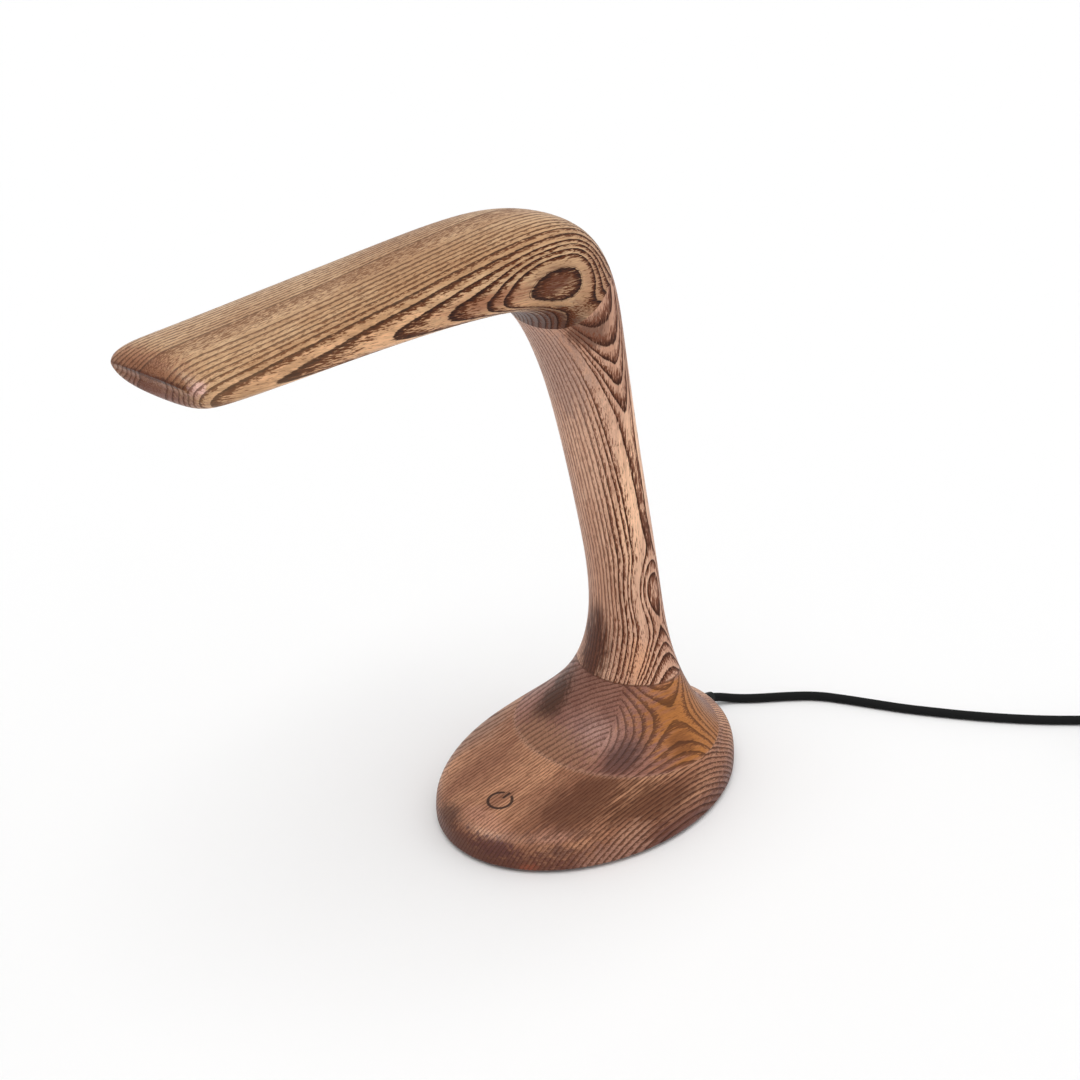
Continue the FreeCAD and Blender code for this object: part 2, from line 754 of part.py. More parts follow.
# ---------------------------------------------------------------- leads inside the lamp
def lamp_lead():
    """Twin lead from the touch board through the base, neck and elbow to the lighting board."""
    board_height = touch_board_under + board_thickness / 2
    groove_height = pocket_ceiling + lead_radius + 0.4
    y = lead_offset
    beside = driver_width / 2 + lead_radius + 4
    turn_z = driver_bay_ceiling - 10
    inside = on_bore(turn_z)
    line = [
        (touch_board_rear, y, board_height), (touch_board_rear + 4.5, y, board_height),
        (ballast_front - 4, y, groove_height), (driver_bay_front + 2, y, groove_height + 0.1),
        (driver_front - 9, y + 0.8, groove_height), (driver_front, beside, groove_height),
        (driver_front + driver_length, beside - 0.5, turn_z), (inside.x, beside - 2.5, turn_z - 1),
        tuple(inside), tuple(bore_elbow()), (slot_root - 14, 0, head_bore_height),
    ]
    return tube(line, lead_radius, lead_bend, "lamp_lead")


def driver_output_lead():
    """Lead from the driver to the touch board."""
    board_height = touch_board_under + board_thickness / 2
    groove_height = pocket_ceiling + output_lead_radius + 0.7
    y = -lead_offset
    line = [(driver_front, y, groove_height), (ballast_front - 4, y, groove_height),
            (touch_board_rear + 4.5, y, board_height), (touch_board_rear, y, board_height)]
    return tube(line, output_lead_radius, lead_bend)


# ---------------------------------------------------------------- light module
def led_channel():
    """Extruded aluminium channel, the heat sink, with a lip on each wall that the diffuser seats on."""
    w, wall, lip = module_width / 2, channel_wall, channel_lip
    inner_top = module_roof - channel_floor
    seat = module_mouth + diffuser_thickness + 0.1
    right = [(w, module_mouth), (w, module_roof)]
    half = [(w - wall, module_mouth), (w - wall, seat), (w - wall - lip, seat), (w - wall - lip, seat + 0.8),
            (w - wall, seat + 1.2), (w - wall, inner_top)]
    outline = right + [(-y, z) for y, z in reversed(right)] + [(-y, z) for y, z in half] + list(reversed(half))
    x0 = slot_tip + module_clearance + cap_thickness
    x1 = slot_root - module_clearance - cap_thickness
    face = Part.Face(Part.makePolygon([Vector(x0, y, z) for y, z in outline + outline[:1]]))
    channel = face.extrude(X * (x1 - x0))
    return cut_all(channel, channel_screw_list(screw_hole) + led_screw_list(screw_hole))


def channel_end_caps():
    """Moulded cap at each end of the channel. The rear one lets the lead in."""
    w = module_width / 2
    caps = []
    for x in (slot_tip + module_clearance, slot_root - module_clearance - cap_thickness):
        cap = box(x, x + cap_thickness, -w, w, module_mouth, module_roof)
        way = rod(Vector(slot_root - 5, 0, head_bore_height), Vector(slot_root, 0, head_bore_height), lead_radius + 0.1)
        caps.append(cap.cut(way))
    return Part.makeCompound(caps)


def led_board_span():
    middle = (slot_tip + slot_root) / 2
    return middle - led_board_length / 2, middle + led_board_length / 2


def led_screw_list(make):
    x0, x1 = led_board_span()
    seat = board_under
    places = [x0 + 6, (x0 + x1) / 2, x1 - 6]
    return [make(Vector(x, led_screw_offset, seat), Z, *led_screw_size) for x in places]


def led_board():
    x0, x1 = led_board_span()
    board = box(x0, x1, -led_board_width / 2, led_board_width / 2, board_under, board_under + board_thickness)
    return cut_all(board, led_screw_list(screw_hole))


def led_chips():
    x0, x1 = led_board_span()
    count = int((x1 - x0 - 4) // led_pitch)
    first = (x0 + x1) / 2 - led_pitch * (count - 1) / 2
    chips = []
    for k in range(count):
        x = first + k * led_pitch
        chips.append(box(x - led_length / 2, x + led_length / 2, -led_width / 2, led_width / 2,
                         board_under - led_height, board_under))
    return Part.makeCompound(chips)


def diffuser():
    """Opal strip in the mouth of the channel."""
    w = module_width / 2 - channel_wall - diffuser_gap
    x0 = slot_tip + module_clearance + cap_thickness
    x1 = slot_root - module_clearance - cap_thickness
    return box(x0, x1, -w, w, module_mouth, module_mouth + diffuser_thickness)


# ---------------------------------------------------------------- mains lead outside the lamp
lying = cord_radius + floor_clearance
cord_start = half_length + 1.5
cord_lay = [  # x from the exit, y, and the height of the lead's middle
    (0, 0, cord_axis_height),
    (10.5, 0, cord_axis_height),
    (16.5, -0.8, 7.2),
    (24, -3.4, 5.1),
    (31, -8.5, lying),
    (40, -18.5, lying),
    (58.5, -34, lying),
    (73, -48.5, lying),
    (82, -66, lying),
    (91, -86, lying),
    (99, -103, lying),
    (108.5, -119.5, lying),
    (118.5, -136.5, lying),
    (131.5, -156, lying),
    (147, -176.5, lying),
    (164, -195.5, lying),
    (183, -215, lying),
]
cord_route = [(cord_start + x, y, z) for x, y, z in cord_lay]
coil_middle = Vector(cord_start + 177, -264.0, 0)
coil_mean_radius = 35.0
coil_spread = 9.5  # from the mean radius to the outermost and innermost turns
coil_layers = 2
coil_lift = 1.0
tie_thickness = 0.9
tie_width = 9.0
tie_angle = 150.0
coil_half_depth = coil_spread + cord_radius
coil_height = coil_layers * 2 * cord_radius
tail_angle = -80.0
plug_length = 34.0
plug_width = 35.0
plug_depth = 14.0
plug_boot_length = 22.0
pin_radius = 2.0
pin_length = 19.0
pin_pitch = 18.6
pin_sleeve_length = 10.0


def coil_point(angle, radius, z):
    a = math.radians(angle)
    return coil_middle + Vector(radius * math.cos(a), radius * math.sin(a), z)


outer_turn = coil_mean_radius + coil_half_depth - cord_radius
coil_axis_height = coil_lift + cord_radius
cord_route.append(tuple(coil_point(42, outer_turn, coil_axis_height)))


def power_cord_coil():
    """The put-away length: a neat round coil, as one ring with rounded edges."""
    inner, outer = coil_mean_radius - coil_half_depth, coil_mean_radius + coil_half_depth
    top = coil_lift + coil_height
    corner = 0.9 * cord_radius
    profile = Part.Face(Part.makePolygon([
        coil_middle + Vector(x, 0, z)
        for x, z in [(inner, coil_lift), (outer, coil_lift), (outer, top), (inner, top), (inner, coil_lift)]
    ]))
    ring = profile.revolve(coil_middle, Z, 360)
    return ring.makeFillet(corner, [e for e in ring.Edges if e.Curve.TypeId == "Part::GeomCircle"])


def coil_tie():
    """Strap round the coil at one place."""
    gap = 0.05
    inner, outer = coil_mean_radius - coil_half_depth - gap, coil_mean_radius + coil_half_depth + gap
    low, high = coil_lift - gap, coil_lift + coil_height + gap
    t = tie_thickness
    hoop = box(inner - t, outer + t, -tie_width / 2, tie_width / 2, low - t, high + t)
    hoop = hoop.makeFillet(2.0, [e for e in hoop.Edges if abs(e.tangentAt(e.FirstParameter).y) > 0.9])
    hoop.rotate(Vector(0, 0, 0), Z, tie_angle)
    hoop.translate(coil_middle)
    return hoop


def plug_axis_height():
    return plug_depth / 2 + floor_clearance


def plug_start():
    """Where the cord enters the plug's boot."""
    leave = coil_point(tail_angle, outer_turn, 0)
    return Vector(leave.x - 39, leave.y - 7, plug_axis_height())


def power_cord():
    return tube(cord_route, cord_radius, name="power_cord")


def power_cord_end():
    """Short length from the coil to the plug."""
    leave = coil_point(tail_angle, outer_turn, coil_axis_height)
    start = plug_start()
    line = [tuple(leave), (leave.x - 13, leave.y - 3.7, coil_axis_height),
            (start.x + 11, start.y, start.z - 0.2), tuple(start)]
    return tube(line, cord_radius, name="power_cord_end")


def rounded_section(x, width, depth, centre, radius):
    """A rounded rectangle square to X, as a wire."""
    w, d, r = width / 2, depth / 2, radius
    corners = [(w - r, d - r, 0), (-w + r, d - r, 90), (-w + r, -d + r, 180), (w - r, -d + r, 270)]
    edges = []
    marks = []
    for y, z, start in corners:
        points = []
        for angle in (start, start + 45, start + 90):
            a = math.radians(angle)
            points.append(Vector(x, centre.y + y + r * math.cos(a), centre.z + z + r * math.sin(a)))
        marks.append(points)
    for k, points in enumerate(marks):
        edges.append(Part.Arc(*points).toShape())
        edges.append(Part.LineSegment(points[2], marks[(k + 1) % 4][0]).toShape())
    return Part.Wire(edges)


def plug_body():
    """Flat two-pin plug, waisted for the fingers and tapered to its boot."""
    start = plug_start()
    tail = start.x - plug_boot_length
    sizes = [(0, 15, 11, 4), (6, 25, 12.5, 5), (17, 31, 13, 5.5), (28, plug_width, plug_depth, 6.5),
             (plug_length, plug_width - 1, plug_depth - 0.6, 6.2)]
    wires = [rounded_section(tail - along, width, depth, start, radius) for along, width, depth, radius in sizes]
    return Part.makeLoft(wires, True, False)


def plug_boot():
    """Ribbed strain relief on the plug."""
    start = plug_start()
    profile = [(0, cord_radius), (0, cord_radius + 0.8)]
    ribs = 4
    for k in range(ribs):
        along = plug_boot_length * (k + 0.35) / (ribs + 0.5)
        grown = cord_radius + 1.0 + 0.45 * k
        profile += [(along, grown), (along + 2.2, grown + 0.2), (along + 2.2, grown - 0.4), (along + 3.2, grown - 0.3)]
    profile += [(plug_boot_length, cord_radius + 2.4), (plug_boot_length, cord_radius)]
    boot = turned(profile, start, -X)
    core = rod(start - X * plug_boot_length, start - X * 10, cord_radius)
    return boot.fuse(core)


def pin_starts():
    start = plug_start()
    face = start.x - plug_boot_length - plug_length
    return [Vector(face, start.y + side * pin_pitch / 2, start.z) for side in (-1, 1)]


def plug_pin_sleeves():
    sleeves = []
    for p in pin_starts():
        outer = rod(p, p - X * pin_sleeve_length, pin_radius - 0.1)
        sleeves.append(outer.cut(rod(p, p - X * pin_sleeve_length, pin_radius - 0.5)))
    return Part.makeCompound(sleeves)


def plug_pins():
    """Round pins, waisted under their sleeves and rounded at the tips."""
    pins = []
    for p in pin_starts():
        profile = [(0, 0), (0, pin_radius - 0.5), (pin_sleeve_length, pin_radius - 0.5),
                   (pin_sleeve_length, pin_radius), (pin_length - 1.2, pin_radius),
                   (pin_length - 0.4, pin_radius - 0.7), (pin_length, 0)]
        pins.append(turned(profile, p, -X))
    return Part.makeCompound(pins)


# ---------------------------------------------------------------- build
def build():
    form = carved_form()
    coil = power_cord_coil()
    body = led_driver()
    wires = [w.cut(Part.makeCompound([body])) for w in mains_wires()]
    return {
        "head_block": head_block(form),
        "neck_block": neck_block(form),
        "collar_block": collar_block(form),
        "base_slab": base_slab(form),
        "collar_dowels": Part.makeCompound(dowels("collar_dowels")),
        "neck_dowels": Part.makeCompound(dowels("neck_dowels")),
        "mitre_dowels": Part.makeCompound(dowels("mitre_dowels")),
        "base_pad": base_pad(),
        "bottom_cover": bottom_cover(),
        "cover_screws": Part.makeCompound(cover_screw_list(screw)),
        "ballast_plate": ballast_plate(),
        "ballast_screws": Part.makeCompound(ballast_screw_list(screw)),
        "touch_electrode": touch_electrode(),
        "touch_spring": touch_spring(),
        "touch_board": touch_board(),
        "touch_board_parts": touch_board_parts(),
        "touch_board_standoffs": touch_standoffs(),
        "touch_board_screws": Part.makeCompound(touch_screw_list(screw)),
        "led_driver": body,
        "driver_screws": Part.makeCompound(driver_screw_list(screw)),
        "driver_output_lead": driver_output_lead(),
        "mains_wire_brown": wires[0],
        "mains_wire_blue": wires[1],
        "terminal_block": terminal_block(),
        "terminal_screw": terminal_screw_list(screw)[0],
        "cord_clamp_block": cord_clamp_block(),
        "cord_clamp_bar": cord_clamp_bar(),
        "cord_clamp_screws": Part.makeCompound(clamp_screw_list(screw)),
        "cord_bush": cord_bush(),
        "cord_inner_end": cord_inner_end(),
        "lamp_lead": lamp_lead(),
        "led_channel": led_channel(),
        "channel_end_caps": channel_end_caps(),
        "channel_screws": Part.makeCompound(channel_screw_list(screw)),
        "led_board": led_board(),
        "led_board_screws": Part.makeCompound(led_screw_list(screw)),
        "led_chips": led_chips(),
        "diffuser": diffuser(),
        "power_cord": power_cord().cut(coil),
        "power_cord_coil": coil,
        "power_cord_end": power_cord_end().cut(coil),
        "coil_tie": coil_tie().cut(coil),
        "plug_boot": plug_boot(),
        "plug_body": plug_body(),
        "plug_pin_sleeves": plug_pin_sleeves(),
        "plug_pins": plug_pins(),
    }


os.makedirs("parts", exist_ok=True)
for node, shape in build().items():
    if not shape.isValid() or any(s.Volume <= 0 for s in shape.Solids) or not shape.Solids:
        print("check", node, shape.isValid(), [round(s.Volume, 1) for s in shape.Solids])
    shape.exportStep(f"parts/{node}.step")
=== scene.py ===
"""Carved ash desk lamp: the looks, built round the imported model.

Shapes are worked out in millimetres in the lamp's own frame (+Z up, the head towards -X, the mains lead
towards +X) and go into the meshes in metres.
"""

import json
import math

import bpy
import numpy as np
from mathutils import Matrix, Vector


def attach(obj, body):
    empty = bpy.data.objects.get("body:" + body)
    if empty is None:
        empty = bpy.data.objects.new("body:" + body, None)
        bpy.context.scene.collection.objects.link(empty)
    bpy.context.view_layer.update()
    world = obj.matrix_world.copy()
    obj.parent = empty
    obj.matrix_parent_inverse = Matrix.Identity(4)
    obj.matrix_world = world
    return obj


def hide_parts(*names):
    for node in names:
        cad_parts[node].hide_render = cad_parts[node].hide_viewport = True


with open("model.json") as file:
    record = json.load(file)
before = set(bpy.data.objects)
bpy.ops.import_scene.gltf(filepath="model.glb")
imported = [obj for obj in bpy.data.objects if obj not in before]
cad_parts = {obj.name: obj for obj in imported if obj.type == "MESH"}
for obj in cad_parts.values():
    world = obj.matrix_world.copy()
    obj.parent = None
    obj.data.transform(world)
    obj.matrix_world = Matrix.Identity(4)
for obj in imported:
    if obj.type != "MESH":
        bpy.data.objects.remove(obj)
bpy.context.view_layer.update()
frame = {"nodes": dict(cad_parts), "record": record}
cad = frame["nodes"]
MM = 0.001


# ---------------------------------------------------------------- camera
def place_camera():
    """Looks at the lamp from its front left and above. back, across and up are the camera's own axes."""
    azimuth, elevation, roll = (math.radians(d) for d in (-46.971, 24.697, -0.189))
    aimed_at, distance = Vector((-0.043937, 0, 0.183313)), 0.89005
    back = Vector((math.sin(azimuth) * math.cos(elevation), -math.cos(azimuth) * math.cos(elevation),
                   math.sin(elevation)))
    level = Vector((math.cos(azimuth), math.sin(azimuth), 0))
    upright = back.cross(level)
    across = level * math.cos(roll) + upright * math.sin(roll)
    up = upright * math.cos(roll) - level * math.sin(roll)
    place = aimed_at + back * distance
    data = bpy.data.cameras.new("camera")
    data.sensor_width = 36
    data.lens = 52.466
    data.clip_start, data.clip_end = 0.05, 50
    camera = bpy.data.objects.new("camera", data)
    camera.matrix_world = Matrix.Translation(place) @ Matrix((across, up, back)).transposed().to_4x4()
    bpy.context.scene.collection.objects.link(camera)
    bpy.context.scene.camera = camera


place_camera()


# ---------------------------------------------------------------- meshes
def smoothed(mesh, crisp=35.0):
    """Shades a mesh smooth, apart from edges turned by more than so many degrees."""
    mesh.shade_smooth()
    mesh.set_sharp_from_angle(angle=math.radians(crisp))


def piece(name, points, faces, material):
    """Puts points in millimetres and faces into a smooth-shaded mesh with one material."""
    mesh = bpy.data.meshes.new(name)
    mesh.from_pydata(np.asarray(points, float) * MM, [], faces)
    smoothed(mesh)
    made = bpy.data.objects.new(name, mesh)
    made.data.materials.append(material)
    bpy.context.scene.collection.objects.link(made)
    return made


def stack(rings, closed=True):
    """Points and faces of a skin over rings (rings x places x 3). Each ring runs counterclockwise seen from
    the side that the stack grows to, so faces point outwards. Fans to their middles close the ends."""
    rings = np.asarray(rings, float)
    rows, places = rings.shape[:2]
    first = np.arange(rows - 1)[:, None] * places
    here = np.arange(places)[None, :]
    after = (here + 1) % places
    faces = np.stack([first + here, first + after, first + places + after, first + places + here], -1)
    faces = faces.reshape(-1, 4).tolist()
    points = rings.reshape(-1, 3)
    if closed:
        low, high = rows * places, rows * places + 1
        points = np.concatenate([points, rings[:1].mean(1), rings[-1:].mean(1)])
        here, after = here[0], after[0]
        top = (rows - 1) * places
        faces += np.stack([np.full(places, low), after, here], -1).tolist()
        faces += np.stack([np.full(places, high), top + here, top + after], -1).tolist()
    return points, faces


def cut_away(made, tools):
    """Takes the tools' volumes out of the piece with exact Boolean cuts, and removes the tools."""
    for tool in tools:
        cut = made.modifiers.new("cut", "BOOLEAN")
        cut.operation, cut.solver, cut.object = "DIFFERENCE", "EXACT", tool
    view = bpy.context.evaluated_depsgraph_get()
    mesh = bpy.data.meshes.new_from_object(made.evaluated_get(view))
    made.modifiers.clear()
    made.data = mesh
    for tool in tools:
        bpy.data.objects.remove(tool)
    smoothed(mesh)


# ---------------------------------------------------------------- carved outside
base_length, base_width = 219.0, 159.0
neck_foot, neck_length = 81.8, 154.0
head_root, head_length, head_width = -103.0, 160.0, 74.0
neck_top = neck_foot + neck_length
collar_joint, neck_joint = 33.0, 72.5
mitre_offset = neck_top + 73.3 + 47.6  # z - x on the 45 degree mitre

# Sections of the outside, from the base's underside to the head's tip.
# rim: insets of the front, the rear and the side, heights of the front and the rear
# collar: x and z of the front, x and z of the rear, half width
# neck: share of the neck's length, x of the front and the rear, lift of the rear, half width, squareness
# elbow: x and z of the under side, x and z of the upper side, both above the neck, inset, squareness
# head: share of the head's length, z of the under side and the upper side, lean, inset, squareness
# tip: the same as the head, with millimetres beyond the head's length in place of the share
rim = [(3.6, 3.0, 2.7, 1.5, 1.5), (0.9, 0.2, 0.0, 2.3, 2.3), (0.7, 0.0, 0.0, 6.0, 6.0),
       (0.7, -0.3, 0.5, 11.0, 11.0), (1.2, -0.2, 1.5, 15.0, 15.5), (3.9, 1.5, 3.2, 19.3, 21.2),
       (10.0, 5.7, 5.7, 22.9, 26.3), (25.2, 10.5, 7.7, 25.1, 29.2), (46.2, 14.9, 9.7, 27.5, 31.5),
       (68.1, 20.3, 12.7, 31.1, 34.1)]
collar = [(-21.4, 37.0, 82.4, 38.8, 61.0), (-4.9, 48.5, 74.8, 49.0, 50.2), (5.0, 62.4, 68.0, 62.9, 39.3)]
neck = [(0.0, 11.5, 61.3, 0.2, 30.3, 2.0), (0.17, 15.0, 54.6, 0.0, 25.0, 2.0),
        (0.378, 12.0, 47.5, 0.0, 24.2, 2.0), (0.586, 3.7, 40.0, 0.0, 24.4, 2.0),
        (0.795, -5.0, 31.4, 0.2, 24.7, 2.0), (1.0, -14.2, 23.0, 1.6, 24.9, 2.1)]
elbow = [(-24.1, 29.6, 14.9, 35.2, 11.3, 2.15), (-34.2, 52.7, 6.3, 67.3, 9.1, 2.2),
         (-43.8, 69.8, -4.3, 101.2, 5.7, 2.3), (-56.0, 82.9, -25.5, 129.5, 2.1, 2.4),
         (-75.4, 90.4, -58.5, 139.2, 0.1, 2.5)]
head = [(0.0, 93.6, 136.7, 7.0, 0.0, 2.6), (0.27, 94.8, 130.7, 0.0, 0.3, 2.65),
        (0.56, 94.2, 124.7, -2.1, 0.5, 2.7), (0.845, 92.5, 118.8, -3.1, 1.1, 2.8),
        (1.0, 91.4, 116.4, -2.6, 2.2, 2.8)]
tip = [(14.0, 91.4, 115.1, -1.3, 3.1, 2.8), (21.0, 95.5, 111.8, -2.1, 5.7, 2.8),
       (22.6, 101.7, 106.6, -3.2, 9.4, 2.6)]
ring_points = 16  # control points in each section
ring_places = 240  # points of the skin round each ring


def stations():
    """One row for each section: the two ends of its middle line, its half width and its squareness."""
    a, b = base_length / 2, base_width / 2
    rows = [(f - a, fz, a - r, rz, b - s, 2.0) for f, r, s, fz, rz in rim]
    rows += [row + (2.0,) for row in collar]
    rows += [(f, neck_foot + share * neck_length, r, neck_foot + share * neck_length + lift, w, q)
             for share, f, r, lift, w, q in neck]
    rows += [(x0, neck_top + z0, x1, neck_top + z1, head_width / 2 - inset, q)
             for x0, z0, x1, z1, inset, q in elbow]
    along = [(head_root - row[0] * head_length,) + row[1:] for row in head]
    along += [(head_root - head_length - row[0],) + row[1:] for row in tip]
    rows += [(x - lean / 2, neck_top + z0, x + lean / 2, neck_top + z1, head_width / 2 - inset, q)
             for x, z0, z1, lean, inset, q in along]
    return np.array(rows)


def ring_controls():
    """Control points of each section: a superellipse |c|^(2/q), |s|^(2/q) grown by 3/(2 + cos(360/16)) so
    that the B-spline through them keeps its size. A mirrored row beyond each end makes the skin end without
    bending."""
    rows = stations()
    angle = 2 * np.pi * np.arange(ring_points) / ring_points
    grown = 3 / (2 + math.cos(2 * math.pi / ring_points))
    power = 2 / rows[:, 5:6]
    ahead = np.sign(np.cos(angle)) * np.abs(np.cos(angle)) ** power * grown
    aside = np.sign(np.sin(angle)) * np.abs(np.sin(angle)) ** power * grown
    middle, half = (rows[:, [0, 1]] + rows[:, [2, 3]]) / 2, (rows[:, [0, 1]] - rows[:, [2, 3]]) / 2
    points = np.stack([middle[:, 0:1] + half[:, 0:1] * ahead, -rows[:, 4:5] * aside,
                       middle[:, 1:2] + half[:, 1:2] * ahead], -1)
    return np.concatenate([2 * points[:1] - points[1:2], points, 2 * points[-1:] - points[-2:-1]])


controls = ring_controls()
last_station = len(controls) - 3


def blend(t):
    """Weights of a uniform cubic B-spline: (1-t)^3, 3t^3-6t^2+4, -3t^3+3t^2+3t+1 and t^3, all over 6."""
    return np.stack([(1 - t) ** 3, 3 * t**3 - 6 * t**2 + 4, -3 * t**3 + 3 * t**2 + 3 * t + 1, t**3]) / 6


def outside(along, around):
    """Point of the carved outside at a station number along the lamp and a ring place around it: the sum over
    4 stations and 4 ring places of weight along x weight around x control point."""
    along, around = np.broadcast_arrays(along, around)
    row = np.clip(np.floor(along).astype(int), 0, last_station - 1)
    place = np.floor(around).astype(int)
    w_along, w_around = blend(along - row), blend(around - place)
    total = np.zeros(along.shape + (3,))
    for a in range(4):
        for b in range(4):
            weight = w_along[a] * w_around[b]
            total += weight[..., None] * controls[row + a, (place + b - 1) % ring_points]
    return total


def crossing(around, height, low, high, halvings=40):
    """Station number where height(point) passes zero at each place around, found by halving."""
    low, high = np.full(around.shape, float(low)), np.full(around.shape, float(high))
    for _ in range(halvings):
        middle = (low + high) / 2
        under = height(outside(middle, around)) < 0
        low, high = np.where(under, middle, low), np.where(under, high, middle)
    return (low + high) / 2


around = np.arange(ring_places) * ring_points / ring_places
at_base = np.zeros(ring_places)
at_collar = crossing(around, lambda p: p[..., 2] - collar_joint, 6, 12)
at_neck = crossing(around, lambda p: p[..., 2] - neck_joint, 10, 15)
at_mitre = crossing(around, lambda p: p[..., 2] - p[..., 0] - mitre_offset, 18, 25)
at_tip = np.full(ring_places, float(last_station))


def carved(start, end, rows):
    """Rings of the outside between two station numbers that may differ round the ring, evenly spaced."""
    share = np.linspace(0, 1, rows)[:, None]
    return outside(start + (end - start) * share, around[None, :])


def oval(a, b, z, square=2.0, x=0.0):
    """A level superellipse with the same places as the carved rings: x = -a c^(2/q), y = -b s^(2/q)."""
    angle = 2 * np.pi * np.arange(ring_places) / ring_places
    c, s = np.cos(angle), np.sin(angle)
    ahead, aside = np.sign(c) * np.abs(c) ** (2 / square), np.sign(s) * np.abs(s) ** (2 / square)
    return np.stack([x - a * ahead, -b * aside, np.full(ring_places, z)], -1)[None]


def rod(start, end, radius, sides=32):
    """Points and faces of a closed round bar between two points."""
    start, end = np.array(start, float), np.array(end, float)
    way = (end - start) / np.linalg.norm(end - start)
    side = np.cross(way, [0, 1, 0])
    side /= np.linalg.norm(side)
    other = np.cross(way, side)
    angle = 2 * np.pi * np.arange(sides)[:, None] / sides
    ring = radius * (np.cos(angle) * side + np.sin(angle) * other)
    return stack(np.stack([start + ring, end + ring]))


def block(x0, x1, y0, y1, z0, z1):
    """Points and faces of a box."""
    ring = np.array([[x0, y0], [x1, y0], [x1, y1], [x0, y1]])
    return stack(np.stack([np.column_stack([ring, np.full(4, z)]) for z in (z0, z1)]))


def cutter(shape):
    """A piece that cut_away takes out of another."""
    return piece("cutter", *shape, None)


# ---------------------------------------------------------------- materials
def colour(code):
    """An sRGB hex value as linear red, green, blue and alpha."""
    parts = [int(code[i:i + 2], 16) / 255 for i in (1, 3, 5)]
    return tuple(c / 12.92 if c <= 0.04045 else ((c + 0.055) / 1.055) ** 2.4 for c in parts) + (1.0,)


def add(tree, kind, *values, out=0, **settings):
    """Adds a node and returns one of its outputs. values go into its inputs in order: each is a number, a
    vector, a colour, another node's output, or None to leave that input alone. A dictionary names the inputs
    that it fills."""
    made = tree.nodes.new("ShaderNode" + kind)
    for key, value in settings.items():
        setattr(made, key, value)
    named = dict(enumerate(values))
    for key in [k for k, v in named.items() if isinstance(v, dict)]:
        named.update(named.pop(key))
    for key, value in named.items():
        if isinstance(value, bpy.types.NodeSocket):
            tree.links.new(value, made.inputs[key])
        elif value is not None:
            made.inputs[key].default_value = value
    return made.outputs[out] if made.outputs else made


def finish(name):
    """A new material and its empty node tree."""
    made = bpy.data.materials.new(name)
    made.use_nodes = True
    made.node_tree.nodes.clear()
    return made, made.node_tree


def nearness(tree, place, centre, reach):
    """0 at a centre and 1 on the ellipsoid that reaches so many millimetres from it along x, y and z."""
    away = add(tree, "VectorMath", place, Vector(centre) * MM, operation="SUBTRACT")
    away = add(tree, "VectorMath", away, Vector(reach) * MM, operation="DIVIDE")
    return add(tree, "VectorMath", away, operation="LENGTH", out="Value")


def growth(tree, place, pith, heading, years, swells=()):
    """Place in a board's own millimetres, x along the grain, and the ring number there.

    The rings are cylinders about the pith line, a point and a heading. years is a table of radius and ring
    number, straight between its rows, so that good years lie far apart and poor years close together. A swell
    pushes the rings outwards round a centre, as an old branch does: centre, reach along x, y and z, and
    height in millimetres."""
    turn = Vector((1, 0, 0)).rotation_difference(Vector(heading).normalized()).to_euler()
    board = add(tree, "Mapping", {"Vector": place, "Location": Vector(pith) * MM, "Rotation": turn},
                vector_type="TEXTURE")
    grain = add(tree, "VectorMath", board, {"Scale": 1000.0}, operation="SCALE")
    across = add(tree, "VectorMath", grain, (0, 1, 1), operation="MULTIPLY")
    radius = add(tree, "VectorMath", across, operation="LENGTH", out="Value")
    for centre, reach, height in swells:
        push = add(tree, "MapRange", nearness(tree, place, centre, reach), 0.0, 1.0, height, 0.0,
                   interpolation_type="SMOOTHSTEP")
        radius = add(tree, "Math", radius, push)
    # The rings wander by up to 0.6 mm either way over about 25 mm across the grain and 125 mm along it.
    slow = add(tree, "VectorMath", grain, (0.2, 1, 1), operation="MULTIPLY")
    wander = add(tree, "TexNoise", {"Vector": slow, "Scale": 1 / 25, "Detail": 2.0})
    wander = add(tree, "Math", wander, 0.5, operation="SUBTRACT")
    radius = add(tree, "Math", wander, 3.0, radius, operation="MULTIPLY_ADD")
    ring = None
    for (near, first), (far, last) in zip(years, years[1:]):
        low, high = (0.0, last - first) if ring else (first, last)
        some = add(tree, "MapRange", radius, near, far, low, high)
        ring = add(tree, "Math", ring, some) if ring else some
    return grain, ring


